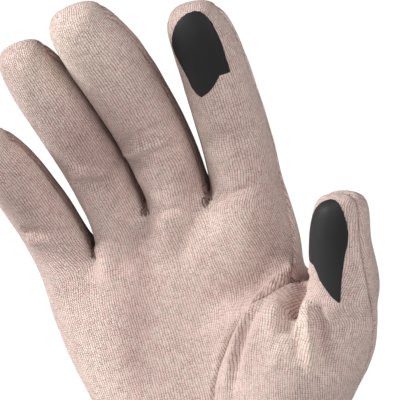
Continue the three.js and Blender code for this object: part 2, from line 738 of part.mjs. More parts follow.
// The worn cloth: rounded, then folded.
const roundFrame = roundOnce(frame);
const smooth = settle(roundFrame);
const smoothWays = outwardWays(smooth, roundFrame.faces);
const folded = smooth.map((place, i) => {
  const way = smoothWays[i];
  return place.clone().addScaledVector(way, foldHeight(place, way));
});
const cloth = {
  places: folded,
  ways: outwardWays(folded, roundFrame.faces),
  faces: roundFrame.faces,
  pieces: roundFrame.pieces,
};

// Touch patches: rows from the pointed end to the tip. up: place along the fingertip from the
// middle of its ball, left and right: the two edges, both measured round a ball of radius reach.
const PATCH_GAP = 0.46;
const PATCH_WALL = 0.4;
const PATCH_COLUMNS = 8;
// Cloth within this distance of the middle of the fingertip can lie under its patch.
const PATCH_SEARCH = 25;
// The middle of the index fingertip's ball lies this far below the tip.
const INDEX_BALL = 9;
const INDEX_PATCH = {
  reach: 9,
  rows: [
    { up: -19.3, left: -3.7, right: -3.1 },
    { up: -17, left: -4.6, right: -1.3 },
    { up: -14.4, left: -5.5, right: 2.6 },
    { up: -13.9, left: -5.7, right: 6.1 },
    { up: -9.5, left: -7.2, right: 6.4 },
    { up: -4.5, left: -7.9, right: 6.8 },
    { up: 0, left: -7.8, right: 7.1 },
    { up: 3, left: -7.2, right: 7.1 },
    { up: 5.5, left: -5.7, right: 6.2 },
    { up: 7.4, left: -3.7, right: 4 },
    { up: 8.5, left: -1.4, right: 1.3 },
  ],
};
const THUMB_PATCH = {
  reach: 9.6,
  rows: [
    { up: -22.7, left: 4.7, right: 5.2 },
    { up: -19.5, left: 2.1, right: 5.4 },
    { up: -16, left: -0.3, right: 5.7 },
    { up: -12.9, left: -2.6, right: 6 },
    { up: -12.4, left: -6.6, right: 6.1 },
    { up: -8.5, left: -6.8, right: 6.6 },
    { up: -4.5, left: -6.3, right: 7.4 },
    { up: -0.5, left: -5.4, right: 7.7 },
    { up: 3, left: -4.1, right: 7.2 },
    { up: 6, left: -2.1, right: 5.3 },
    { up: 7.9, left: 0.3, right: 2.1 },
  ],
};

// Where a line from inside the glove meets the cloth, as a distance.
function meetCloth(origin, way) {
  const ray = new THREE.Ray(origin, way);
  const hit = new THREE.Vector3();
  let far = 0;
  cloth.faces.forEach(([a, b, c, d]) => {
    splitQuad(cloth.places, a, b, c, d).forEach((three) => {
      const [p, q, r] = three.map((i) => cloth.places[i]);
      if (p.distanceTo(origin) < PATCH_SEARCH && ray.intersectTriangle(p, q, r, false, hit)) {
        far = Math.max(far, hit.distanceTo(origin));
      }
    });
  });
  return far;
}

// A thin patch lying on a fingertip.
function patchBody(patch, ball, axis, padWay) {
  const pad = padWay.clone().addScaledVector(axis, -padWay.dot(axis)).normalize();
  const side = new THREE.Vector3().crossVectors(axis, pad).normalize();
  const points = [];
  const outer = [];
  const inner = [];
  patch.rows.forEach((row) => {
    for (let n = 0; n <= PATCH_COLUMNS; n += 1) {
      const across = mix(row.left, row.right, n / PATCH_COLUMNS) / patch.reach;
      const up = Math.max(row.up, 0) / patch.reach;
      const out = Math.sqrt(Math.max(1 - across * across - up * up, 0));
      const way = side.clone().multiplyScalar(across);
      way.addScaledVector(axis, up).addScaledVector(pad, out).normalize();
      const origin = ball.clone().addScaledVector(axis, Math.min(row.up, 0));
      const far = meetCloth(origin, way);
      inner.push(points.push(origin.clone().addScaledVector(way, far + PATCH_GAP)) - 1);
      outer.push(points.push(origin.clone().addScaledVector(way, far + PATCH_GAP + PATCH_WALL)) - 1);
    }
  });
  const triangles = [];
  const wide = PATCH_COLUMNS + 1;
  const quad = (a, b, c, d) => pushQuad(points, triangles, a, b, c, d);
  for (let r = 0; r + 1 < patch.rows.length; r += 1) {
    for (let n = 0; n < PATCH_COLUMNS; n += 1) {
      const at = r * wide + n;
      quad(outer[at], outer[at + 1], outer[at + wide + 1], outer[at + wide]);
      quad(inner[at + wide], inner[at + wide + 1], inner[at + 1], inner[at]);
    }
    const left = r * wide;
    const right = left + PATCH_COLUMNS;
    quad(outer[left], outer[left + wide], inner[left + wide], inner[left]);
    quad(outer[right + wide], outer[right], inner[right], inner[right + wide]);
  }
  const top = (patch.rows.length - 1) * wide;
  for (let n = 0; n < PATCH_COLUMNS; n += 1) {
    quad(outer[n + 1], outer[n], inner[n], inner[n + 1]);
    quad(outer[top + n], outer[top + n + 1], inner[top + n + 1], inner[top + n]);
  }
  return solid(points, triangles);
}

function indexPatchBody() {
  const finger = FINGERS[FINGERS.length - 1];
  const place = fingerPlace(finger, lengthOf(finger) - INDEX_BALL);
  const axis = new THREE.Vector3().crossVectors(place.pad, place.sideways).normalize();
  return patchBody(INDEX_PATCH, place.centre, axis, place.pad);
}

function thumbPatchBody() {
  const ball = THUMB_ROWS[3];
  const low = THUMB_ROWS[1];
  const centre = new THREE.Vector3(ball.x, ball.y, ball.z);
  const axis = centre.clone().sub(new THREE.Vector3(low.x, low.y, low.z)).normalize();
  return patchBody(THUMB_PATCH, centre, axis, thumbRing(ball).pad);
}

// Colours and the list of pieces
const WOOL = 0xc5aea5;
const WOOL_SIDE = 0xa58d84;
const PATCH = 0x2c2b2d;
const WOOL_ROUGHNESS = 0.95;
const PATCH_ROUGHNESS = 0.5;
const PIECES = [
  { name: 'palm_panel', colour: WOOL },
  { name: 'back_panel', colour: WOOL },
  { name: 'thumb_panel', colour: WOOL },
  { name: 'fourchette_index_middle', colour: WOOL_SIDE },
  { name: 'fourchette_middle_ring', colour: WOOL_SIDE },
  { name: 'fourchette_ring_little', colour: WOOL_SIDE },
  { name: 'index_touch_patch', colour: PATCH, body: indexPatchBody },
  { name: 'thumb_touch_patch', colour: PATCH, body: thumbPatchBody },
];

const group = new THREE.Group();
group.name = 'wool_glove';
PIECES.forEach((piece) => {
  const shape = piece.body ? piece.body() : clothBody(cloth, piece.name);
  const roughness = piece.body ? PATCH_ROUGHNESS : WOOL_ROUGHNESS;
  const material = new THREE.MeshStandardMaterial({ color: piece.colour, roughness });
  const mesh = new THREE.Mesh(shape, material);
  mesh.name = piece.name;
  group.add(mesh);
});

export default group;
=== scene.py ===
import bpy
import math
import numpy as np
from mathutils import Matrix, Vector, kdtree, noise
from mathutils.bvhtree import BVHTree


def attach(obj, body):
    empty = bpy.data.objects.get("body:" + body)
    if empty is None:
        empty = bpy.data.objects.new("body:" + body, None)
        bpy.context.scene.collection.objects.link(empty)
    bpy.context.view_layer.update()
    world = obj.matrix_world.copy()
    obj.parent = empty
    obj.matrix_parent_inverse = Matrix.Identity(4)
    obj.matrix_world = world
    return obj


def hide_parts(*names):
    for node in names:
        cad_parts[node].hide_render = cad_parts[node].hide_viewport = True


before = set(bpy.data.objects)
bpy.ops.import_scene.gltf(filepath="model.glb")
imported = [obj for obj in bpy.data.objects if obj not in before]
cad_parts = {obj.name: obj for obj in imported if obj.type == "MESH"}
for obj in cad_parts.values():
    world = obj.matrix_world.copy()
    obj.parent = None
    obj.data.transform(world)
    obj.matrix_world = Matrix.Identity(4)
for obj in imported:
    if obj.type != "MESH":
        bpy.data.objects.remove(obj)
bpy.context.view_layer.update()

# Palm panel
# The palm face of the hand and fingers: one cut piece of fine wool jersey, about a
# millimetre thick, sewn to its neighbours along its whole edge but the wrist.

# The body below the thumb fork: heights z, places x and depths y in millimetres at the
# little-finger side (U), the thumb seam (S), the back's thumb line (B) and the thumb side (R).
BODY_ROWS = [
    dict(zU=0, zS=0, zR=0, xU=-32, xS=15, xB=17, xR=32,
         yU=0, yR=0, palm=(-23, -24.5, -23), back=(23, 24.5, 23)),
    dict(zU=36, zS=36, zR=36, xU=-30, xS=6, xB=15, xR=29.5,
         yU=0, yR=0, palm=(-20, -21.5, -20), back=(20, 21, 20)),
    dict(zU=64, zS=67, zR=64, xU=-30, xS=-2, xB=15, xR=28,
         yU=0, yR=-1, palm=(-19, -20, -20), back=(18, 19, 17)),
    dict(zU=87, zS=98, zR=85, xU=-36, xS=1, xB=21, xR=40.5,
         yU=0, yR=-8, palm=(-20, -17.5, -29), back=(14.5, 15.5, 11)),
    dict(zU=97, zS=107.5, zR=94, xU=-39.4, xS=6.8, xB=26, xR=52.8,
         yU=0, yR=-13, palm=(-18, -16.5, -34), back=(13.5, 15, 5)),
    dict(zU=107, zS=117, zR=104, xU=-42, xS=14.7, xB=31, xR=60,
         yU=0, yR=-19, palm=(-17, -16, -36), back=(13.5, 15, 0)),
    dict(zU=117, zS=125.2, zR=112, xU=-43.6, xS=25, xB=35, xR=62.9,
         yU=0, yR=-21.5, palm=(-16, -15.5, -34), back=(13.5, 15, 0)),
]
THUMB_SHARES = (0, 0.09, 0.19, 0.32, 0.5, 0.74)
HAND_ROWS = [
    dict(zU=126, zM=127.5, zR=126.8, xU=-44.8, xR=38.8,
         yU=0, yR=-4, palm=(-15, -14.5, -14), back=(13.5, 14.5, 10)),
    dict(zU=137, zM=139, zR=137, xU=-45.3, xR=39.7, yU=0, yR=5, palm=(-14, -14, -14), back=(13, 14, 12)),
]
FORK_FRONT = (37.6, -13, 126.4)
FORK_SIDE = (38.5, -5, 123)
FORK_BACK = (37, 3, 126.5)
# Fingers: root, places of the rings as shares of the length, spread, the bend and length of the
# three joints, and the half widths and depths at the root, the joints and the tip.
FINGERS = [
    dict(x=-32.7, y=-1, z=148, rings=(0.1, 0.3, 0.52, 0.74), spread=-6,
         bend=(14, 30, 44), bones=(16, 21, 22), wide=(9.8, 9.7, 9.6, 9.0), deep=(9.4, 9.2, 8.6, 7.8)),
    dict(x=-12.0, y=0, z=155, rings=(0.08, 0.28, 0.52, 0.76), spread=-4.2,
         bend=(15, 28, 38), bones=(21, 27, 26), wide=(9.5, 9.9, 10.2, 9.6), deep=(9.8, 9.6, 9.1, 8.2)),
    dict(x=7.9, y=0, z=157, rings=(0.075, 0.24, 0.43, 0.61, 0.79), spread=-2.2,
         bend=(9, 33, 46), bones=(22, 30, 29), wide=(9.8, 11.0, 11.9, 10.8), deep=(10.2, 10.2, 9.6, 8.8)),
    dict(x=28.6, y=0, z=152, rings=(0.085, 0.26, 0.46, 0.63, 0.81), spread=6.9,
         bend=(8, 22, 34), bones=(21, 25, 24), wide=(10.5, 10.8, 10.3, 9.6), deep=(10.2, 9.9, 9.2, 8.3)),
]
FINGER_FORKS = [dict(x=-22.1, zF=149.5, zS=149.5, zB=153.5), dict(x=-2.3, zF=161, zS=161, zB=164),
                dict(x=17.4, zF=158, zS=158, zB=161.5)]
THUMB_ROWS = [
    dict(x=53.8, y=-22, z=119, wide=10.9, deep=11.1, tilt=18),
    dict(x=56.7, y=-24.5, z=128, wide=9.7, deep=9.8, tilt=12),
    dict(x=58.5, y=-26.5, z=136, wide=8.9, deep=9.0, tilt=8),
    dict(x=61.4, y=-28, z=142.3, wide=8.9, deep=8.9, tilt=8),
    dict(x=62.9, y=-29, z=147.2, wide=7.7, deep=7.5, tilt=8),
]
THUMB_TIP = dict(x=63.6, y=-29.6, z=151.1, wide=4.5, tilt=10)
THUMB_PAD_TURN = -27
# Degrees from the pad to the palm panel's seam and to the back panel's seam, at root and tip.
SEAM_FRONT = (76, 96)
SEAM_BACK = (138, 120)
# The index finger's seam on the thumb side, which has no strip, and its place below the root.
SEAM_OUTSIDE = 110
HAND_SEAM = (40.4, -1.5, 137)
THUMB_TURNS = (-60, -38, -14, 11, 34, 56, 80, 119, 159, 198, 235, 270)
EDGE = 0.045
WRIST_ROW = 2
SIDE_STRIPS = ("fourchette_ring_little", "fourchette_middle_ring", "fourchette_index_middle")

corners = []
faces = []
knit_places = {}


def mix(a, b, t):
    return a + (b - a) * t


def along(values, t):
    """Smooth value of a short list spread evenly from 0 to 1."""
    s = min(max(t, 0), 1) * (len(values) - 1)
    i = min(int(s), len(values) - 2)
    f = s - i
    p0, p1, p2 = values[max(i - 1, 0)], values[i], values[i + 1]
    p3 = values[min(i + 2, len(values) - 1)]
    return p1 + 0.5 * f * (p2 - p0 + f * (2 * p0 - 5 * p1 + 4 * p2 - p3 + f * (3 * (p1 - p2) + p3 - p0)))


def corner(place):
    corners.append(np.array(place, float))
    return len(corners) - 1


def face(loop, piece):
    faces.append((list(loop), piece))


def knit(piece, point, u, v):
    """Place of a corner on the flat cloth: u across the wales and v along them, in millimetres."""
    knit_places.setdefault(piece, {})[point] = (u, v)


# How square the hand's section is: higher numbers fill its corners more.
SECTION_BULGE = 3
SECTION_FILL = 2.4


def section_depth(row, values, u):
    """Depth of a ring's palm or back at a share of its width, from three named depths."""
    flat = along((values[0], values[0], values[1], values[2], values[2]), u)
    side = mix(row["yU"], row["yR"], u)
    return side + (flat - side) * (1 - abs(2 * u - 1) ** SECTION_BULGE) ** (1 / SECTION_FILL)


# A ring's columns are counted from the little-finger side, three to each finger, up to the thumb
# seam. Below the fork more of them go over the ball of the thumb, and these go behind it.
SEAM_COLUMN = 12
BACK_COLUMNS = 3


def body_ring(row):
    """Corners of a ring below the thumb fork, palm side and back."""
    width = row["xR"] - row["xU"]
    seam = (row["xS"] - row["xU"]) / width
    back_line = (row["xB"] - row["xU"]) / width
    front, back = [], []
    for column in range(SEAM_COLUMN + len(THUMB_SHARES)):
        to_seam = column <= SEAM_COLUMN
        past = 0 if to_seam else THUMB_SHARES[column - SEAM_COLUMN]
        t = column / SEAM_COLUMN if to_seam else past / THUMB_SHARES[-1]
        u = mix(EDGE, seam, t) if to_seam else mix(seam, 1 - 2 * EDGE, t)
        z = mix(row["zU"], row["zS"], t) if to_seam else mix(row["zS"], row["zR"], t)
        front.append(corner((row["xU"] + width * u, section_depth(row, row["palm"], u), z)))
    for column in range(SEAM_COLUMN + 1 + BACK_COLUMNS):
        to_seam = column <= SEAM_COLUMN
        t = column / SEAM_COLUMN if to_seam else (column - SEAM_COLUMN) / BACK_COLUMNS
        u = mix(EDGE, back_line, t) if to_seam else mix(back_line, 1 - EDGE, t)
        z = mix(row["zU"], row["zR"], u)
        back.append(corner((row["xU"] + width * u, section_depth(row, row["back"], u), z)))
    return dict(front=front, back=back, R=corner((row["xR"], row["yR"], row["zR"])),
                U=corner((row["xU"], row["yU"], row["zU"])))


def hand_ring(row, forked):
    """Corners of a ring between the thumb fork and the fingers."""
    width = row["xR"] - row["xU"]
    front, back = [], []
    for column in range(SEAM_COLUMN + 1):
        u = mix(EDGE, 1 - EDGE, column / SEAM_COLUMN)
        z = along((row["zU"], row["zM"], row["zR"]), u)
        front_place = (row["xU"] + width * u, section_depth(row, row["palm"], u), z)
        back_place = (row["xU"] + width * u, section_depth(row, row["back"], u), z)
        if column == SEAM_COLUMN:
            front_place = FORK_FRONT if forked else HAND_SEAM
            back_place = FORK_BACK if forked else back_place
        front.append(corner(front_place))
        back.append(corner(back_place))
    side = FORK_SIDE if forked else (row["xR"], row["yR"], row["zR"])
    return dict(front=front, back=back, R=corner(side), U=corner((row["xU"], row["yU"], row["zU"])))


def round_of(ring):
    """A ring's corners in order, once round."""
    return ring["front"] + [ring["R"]] + ring["back"][::-1] + [ring["U"]]


def join(low, high, piece_of):
    """Faces between two rings, each given to its cut piece."""
    for k in range(len(low)):
        n = (k + 1) % len(low)
        face((low[k], low[n], high[n], high[k]), piece_of(k))


def tube_point(place, wide, deep, turn):
    """A corner on a finger's section, by degrees from the middle of its pad."""
    centre, sideways, pad = place
    turn = math.radians(turn)
    return corner(centre + sideways * math.sin(turn) * wide + pad * math.cos(turn) * deep)


def settle(turns, k):
    """How far a corner stands out, so that the rounded section comes to its true size."""
    gaps = (turns[k] - turns[k - 1], turns[(k + 1) % len(turns)] - turns[k])
    return 6 / (4 + sum(math.cos(math.radians(gap)) for gap in gaps))


def ring_turns(share, outermost):
    """Degrees of the ten corners of a finger's ring: three faces of pad, then side, back, side."""
    f, b = mix(SEAM_FRONT[0], SEAM_FRONT[1], share), mix(SEAM_BACK[0], SEAM_BACK[1], share)
    right = SEAM_OUTSIDE if outermost else f
    step, third = (f + right) / 3, (180 - b) / 3
    return (-f, step - f, 2 * step - f, right, (right + b) / 2, b, 180 - third, 180 + third, 360 - b,
            360 - (f + b) / 2)


def tube_ring(place, wide, deep, turns):
    return [tube_point(place, wide * settle(turns, k), deep * settle(turns, k), turn)
            for k, turn in enumerate(turns)]


def close_tip(ring, m1, m2, pad_piece, back_piece):
    """Closes a fingertip over its last ring with two corners in the middle."""
    side_r = ring[-6]
    b3, b2, b1, b0, side_u = ring[-5:]
    front = ring[:-6]
    face((side_u, front[0], front[1], m1), pad_piece)
    face([m1] + front[1:-1] + [m2], pad_piece)
    face((m2, front[-2], front[-1], side_r), pad_piece)
    face((side_r, b3, b2, m2), back_piece)
    face((m2, b2, b1, m1), back_piece)
    face((m1, b1, b0, side_u), back_piece)


def knit_body(ring, height_of, lower):
    """Flat cloth places of one ring of the hand: distance round it, from its middle column."""
    front, back = ring["front"], ring["back"]
    for piece, row in (("palm_panel", front), ("back_panel", back)):
        middle = SEAM_COLUMN // 2
        row_u = {row[middle]: corners[row[middle]][0]}
        ends = row + [ring["R"]]
        if piece == "back_panel" and not lower:
            ends = ends + [front[-1]]
        for a, b in zip(ends[middle:], ends[middle + 1:]):
            row_u[b] = row_u[a] + np.linalg.norm((corners[b] - corners[a])[:2])
        starts = [ring["U"]] + row[:middle + 1]
        for a, b in zip(starts[::-1], starts[::-1][1:]):
            row_u[b] = row_u[a] - np.linalg.norm((corners[b] - corners[a])[:2])
        for point, u in row_u.items():
            knit(piece, point, u, height_of(point))


body_rings = [body_ring(row) for row in BODY_ROWS]


def body_piece(row):
    """Which cut piece each face of a ring of the hand belongs to."""
    def piece_of(k):
        little_side = 2 * SEAM_COLUMN + len(THUMB_SHARES) + BACK_COLUMNS + 2
        if k < SEAM_COLUMN or k == little_side:
            return "palm_panel"
        if k < SEAM_COLUMN + len(THUMB_SHARES):
            return "palm_panel" if row < WRIST_ROW else "thumb_panel"
        return "back_panel"
    return piece_of


for number in range(len(body_rings) - 1):
    join(round_of(body_rings[number]), round_of(body_rings[number + 1]), body_piece(number))
hand_rings = [hand_ring(row, number == 0) for number, row in enumerate(HAND_ROWS)]


def thumb_place(row):
    """Middle, sideways way and pad way of a ring of the thumb."""
    turn = math.radians(THUMB_PAD_TURN)
    tilt = math.radians(row["tilt"])
    sideways = np.array((math.cos(turn) * math.cos(tilt), math.sin(turn) * math.cos(tilt), -math.sin(tilt)))
    pad = np.array((math.sin(turn), -math.cos(turn), 0.0))
    return np.array((row["x"], row["y"], row["z"]), float), sideways, pad


thumb_rings = []
for number, row in enumerate(THUMB_ROWS):
    shared = {}
    if number == 0:
        shared = {0: hand_rings[0]["front"][-1], 10: hand_rings[0]["back"][-1], 11: hand_rings[0]["R"]}
    thumb_rings.append([shared[k] if k in shared else
                        tube_point(thumb_place(row), row["wide"] * settle(THUMB_TURNS, k),
                                   row["deep"] * settle(THUMB_TURNS, k), turn)
                        for k, turn in enumerate(THUMB_TURNS)])
for number in range(len(thumb_rings) - 1):
    join(thumb_rings[number], thumb_rings[number + 1],
         lambda k: "thumb_panel" if k < 6 or k == 11 else "back_panel")
thumb_m1 = tube_point(thumb_place(THUMB_TIP), THUMB_TIP["wide"], 0, -90)
thumb_m2 = tube_point(thumb_place(THUMB_TIP), THUMB_TIP["wide"], 0, 90)
close_tip(thumb_rings[-1], thumb_m1, thumb_m2, "thumb_panel", "back_panel")
first = thumb_rings[0]
split = dict(front=hand_rings[0]["front"] + first[1:6],
             back=hand_rings[0]["back"] + [first[9], first[8], first[7]],
             R=first[6], U=hand_rings[0]["U"])
join(round_of(body_rings[-1]), round_of(split), body_piece(len(body_rings)))


# Length of finger over which a joint's bend is spread.
JOINT_REACH = 12


def finger_place(finger, s):
    """Middle, sideways way and pad way of a finger at a distance from its root."""
    spread = math.radians(finger["spread"])
    sideways = np.array((math.cos(spread), 0, -math.sin(spread)))
    upright = np.array((math.sin(spread), 0, math.cos(spread)))
    bends = [math.radians(bend) for bend in finger["bend"]]
    ways = [upright * math.cos(bend) + np.array((0, -math.sin(bend), 0)) for bend in bends]
    centre = np.array((finger["x"], finger["y"], finger["z"]), float)
    rest = s
    for number, way in enumerate(ways):
        step = min(rest, finger["bones"][number]) if number < 2 else rest
        centre = centre + way * step
        rest -= step
        if rest <= 0:
            break
    past_first = s - finger["bones"][0]
    first_joint = min(1, max(0, past_first / JOINT_REACH + 0.5))
    second_joint = min(1, max(0, (past_first - finger["bones"][1]) / JOINT_REACH + 0.5))
    run = (ways[0] * (1 - first_joint) + ways[1] * first_joint * (1 - second_joint)
           + ways[2] * first_joint * second_joint)
    run = run / np.linalg.norm(run)
    pad = np.cross(sideways, run)
    return centre, sideways, pad / np.linalg.norm(pad)


def finger_size(finger, values, s):
    """Half width or half depth of a finger at a distance from its root."""
    marks = np.cumsum((0,) + finger["bones"])
    return float(np.interp(s, marks, values))


# Depths of the fork's corners on the palm side and the back, and how the finger roots lie
# beside the finger's middle there: palm corners (depth, height), back corners (depth, height).
FORK_DEPTHS = (-7.5, 9)
ROOT_PALM = (-1.5, -1)
ROOT_BACK = (1, 3)
root_front, root_back = [], []
for column in range(SEAM_COLUMN + 1):
    which = min(column // 3, 3)
    finger = FINGERS[which]
    if column % 3 == 0 and 0 < column < SEAM_COLUMN:
        fork = FINGER_FORKS[column // 3 - 1]
        root_front.append(corner((fork["x"], FORK_DEPTHS[0], fork["zF"])))
        root_back.append(corner((fork["x"], FORK_DEPTHS[1], fork["zB"])))
    else:
        turns = ring_turns(0, which == 3)
        turn = math.radians(turns[column - which * 3])
        x = finger["x"] + math.sin(turn) * finger["wide"][0] * settle(turns, column - which * 3)
        y = math.cos(turn) * finger["deep"][0] * settle(turns, column - which * 3)
        root_front.append(corner((x, finger["y"] - y + ROOT_PALM[0], finger["z"] + ROOT_PALM[1])))
        back_turn = math.radians(turns[8 - column + which * 3])
        x = finger["x"] + math.sin(back_turn) * finger["wide"][0]
        y = math.cos(back_turn) * finger["deep"][0]
        root_back.append(corner((x, finger["y"] - y + ROOT_BACK[0], finger["z"] + ROOT_BACK[1])))
root_sides = [corner((fork["x"], 0, fork["zS"])) for fork in FINGER_FORKS]
root_turns = ring_turns(0, False)
little, index = FINGERS[0], FINGERS[3]
root_u = corner((little["x"] - little["wide"][0] * settle(root_turns, 9), 0, little["z"]))
root_r = corner((index["x"] + index["wide"][0] * settle(root_turns, 4), 3, index["z"]))
root_ring = dict(front=root_front, back=root_back, R=root_r, U=root_u)
for low, high in ((hand_rings[0], hand_rings[1]), (hand_rings[1], root_ring)):
    little_side = len(round_of(low)) - 1
    join(round_of(low), round_of(high),
         lambda k: "palm_panel" if k < SEAM_COLUMN or k == little_side else "back_panel")


def height_of(point):
    return corners[point][2]


for ring in body_rings:
    knit_body(ring, height_of, True)
for ring in hand_rings + [root_ring]:
    knit_body(ring, height_of, False)
knit_body(split, height_of, True)
# Cloth between the side of the hand and the fork's front corner, on the flat.
FORK_CLOTH = 9
for point in hand_rings[0]["front"][SEAM_COLUMN:]:
    side_u = knit_places["back_panel"][hand_rings[0]["R"]][0]
    knit("back_panel", point, side_u + FORK_CLOTH, height_of(point))

# The last ring of a finger: its place below the tip and its size against the finger's; how wide
# the two closing corners stand; and the flat places of the cap's corners, up and across.
CAP_BELOW = 5
CAP_SHRINK = 0.84
CAP_WIDE = 0.45
CAP_UP = 3.5
CAP_ACROSS = 4
CAP_BACK_UP = 12
CAP_BACK = ((5, 8), (6, 3), (7, -3), (8, -8))
for number, finger in enumerate(FINGERS):
    side_u = root_u if number == 0 else root_sides[number - 1]
    side_r = root_r if number == 3 else root_sides[number]
    f = root_front[3 * number:3 * number + 4]
    b = root_back[3 * number:3 * number + 4]
    low = [f[0], f[1], f[2], f[3], side_r, b[3], b[2], b[1], b[0], side_u]
    right_strip = "back_panel" if number == 3 else SIDE_STRIPS[number]
    left_strip = None if number == 0 else SIDE_STRIPS[number - 1]

    def piece_of(k):
        if k < 3:
            return "palm_panel"
        if k < 5:
            return right_strip
        if k < 8:
            return "back_panel"
        if left_strip:
            return left_strip
        return "back_panel" if k == 8 else "palm_panel"

    def knit_ring(ring, s):
        size = (finger_size(finger, finger["wide"], s) + finger_size(finger, finger["deep"], s)) / 2
        for k, point in enumerate(ring):
            turn = math.radians(ring_turns(s / total, number == 3)[k])
            front_turn = turn if k < 6 else turn - 2 * math.pi
            height = finger["z"] + s
            if s > 0:
                knit("palm_panel", point, finger["x"] + size * front_turn, height)
                knit("back_panel", point, finger["x"] + size * (math.pi - turn), height)
            if 3 <= k <= 5 and number < 3:
                knit(right_strip, point, size * (turn - math.pi / 2), s)
            if (k >= 8 or k == 0) and left_strip:
                knit(left_strip, point, size * (math.pi / 2 + (turn if k == 0 else turn - 2 * math.pi)), -s)

    total = sum(finger["bones"])
    knit_ring(low, 0)
    for s in [share * total for share in finger["rings"]] + [total - CAP_BELOW]:
        shrink = CAP_SHRINK if s == total - CAP_BELOW else 1
        wide = finger_size(finger, finger["wide"], s) * shrink
        deep = finger_size(finger, finger["deep"], s) * shrink
        ring = tube_ring(finger_place(finger, s), wide, deep, ring_turns(s / total, number == 3))
        join(low, ring, piece_of)
        knit_ring(ring, s)
        low = ring
    place = finger_place(finger, total)
    m1 = tube_point(place, finger["wide"][3] * CAP_WIDE, 0, -90)
    m2 = tube_point(place, finger["wide"][3] * CAP_WIDE, 0, 90)
    close_tip(low, m1, m2, "palm_panel", "palm_panel")
    knit("palm_panel", m1, finger["x"] - CAP_ACROSS, finger["z"] + total + CAP_UP)
    knit("palm_panel", m2, finger["x"] + CAP_ACROSS, finger["z"] + total + CAP_UP)
    for k, across in CAP_BACK:
        knit("palm_panel", low[k], finger["x"] + across, finger["z"] + total + CAP_BACK_UP)

# The thumb's cloth runs along the thumb, which leans towards the thumb side: its way in x and z,
# its start, the cloth taken up by depth, the cloth between rings, the height of the tip, and on
# the back the cloth up to the thumb's first corner and up to its middle.
THUMB_RUN = np.array((0.42, 0.907))
THUMB_START = (53.5, 120)
DEPTH_CLOTH = 0.95
RING_CLOTH = 8.6
THUMB_TIP_CLOTH = 163
THUMB_BACK_START = 3
THUMB_BACK_MIDDLE = 15
for ring in body_rings[WRIST_ROW:] + [split]:
    reach = 0
    over_thumb = ring["front"][SEAM_COLUMN:] + [ring["R"]]
    for a, b in zip(over_thumb, over_thumb[1:] + [ring["R"]]):
        place = corners[a][[0, 2]] - THUMB_START
        across = place[0] * THUMB_RUN[1] - place[1] * THUMB_RUN[0]
        knit("thumb_panel", a, across + DEPTH_CLOTH * reach, place @ THUMB_RUN + THUMB_START[1])
        reach += max(np.linalg.norm(corners[b] - corners[a]) - abs(corners[b][0] - corners[a][0]), 0)
for number, row in enumerate(THUMB_ROWS):
    size = (row["wide"] + row["deep"]) / 2
    base_u = knit_places["back_panel"][hand_rings[0]["back"][-1]][0]
    for k, point in enumerate(thumb_rings[number]):
        turn = math.radians(THUMB_TURNS[k])
        length = THUMB_START[1] + RING_CLOTH * number
        if k < 7 or k == 11:
            if number > 0 or k == 11:
                knit("thumb_panel", point, size * (turn if k < 7 else turn - 2 * math.pi), length)
        if k >= 6 and number > 0:
            round_back = size * (math.radians(THUMB_TURNS[10]) - turn)
            knit("back_panel", point, base_u + round_back + THUMB_BACK_START, length)
for piece, middle in (("thumb_panel", 0), ("back_panel", base_u + THUMB_BACK_MIDDLE)):
    knit(piece, thumb_m1, middle - CAP_ACROSS, THUMB_TIP_CLOTH)
    knit(piece, thumb_m2, middle + CAP_ACROSS, THUMB_TIP_CLOTH)


def edge_key(a, b, count):
    """One whole number for each edge, the same from both of its ends."""
    return np.minimum(a, b) * count + np.maximum(a, b)


def refine(points, quads):
    """Rounds a net of four-sided faces once; open edges keep to their own line."""
    count = len(points)
    middle = points[quads].mean(1)
    a = quads.reshape(-1)
    b = np.roll(quads, -1, 1).reshape(-1)
    keys, inverse, uses = np.unique(edge_key(a, b, count), return_inverse=True, return_counts=True)
    ends = np.stack([keys // count, keys % count], 1)
    sides = np.zeros((len(keys), points.shape[1]))
    np.add.at(sides, inverse, np.repeat(middle, 4, 0))
    half = points[ends].mean(1)
    closed = uses == 2
    edge_points = np.where(closed[:, None], (points[ends].sum(1) + sides) / 4, half)
    valence = np.bincount(a, minlength=count)[:, None]
    face_sum = np.zeros_like(points)
    np.add.at(face_sum, a, np.repeat(middle, 4, 0))
    edge_sum = np.zeros_like(points)
    edge_count = np.zeros((count, 1))
    open_sum = np.zeros_like(points)
    open_count = np.zeros((count, 1))
    for end in (0, 1):
        np.add.at(edge_sum, ends[:, end], half)
        np.add.at(edge_count, ends[:, end], 1)
        np.add.at(open_sum, ends[~closed, end], points[ends[~closed, 1 - end]])
        np.add.at(open_count, ends[~closed, end], 1)
    used = np.maximum(valence, 1)
    moved = (face_sum / used + 2 * edge_sum / np.maximum(edge_count, 1) + (used - 3) * points) / used
    kept = 0.75 * points + 0.125 * open_sum
    old = np.where(open_count > 0, kept, moved)
    e = inverse.reshape(-1, 4) + count
    c = np.arange(len(quads)) + count + len(keys)
    new = np.stack([np.stack([quads[:, k], e[:, k], c, e[:, k - 1]], 1) for k in range(4)], 1)
    return np.concatenate([old, edge_points, middle]), new.reshape(-1, 4)


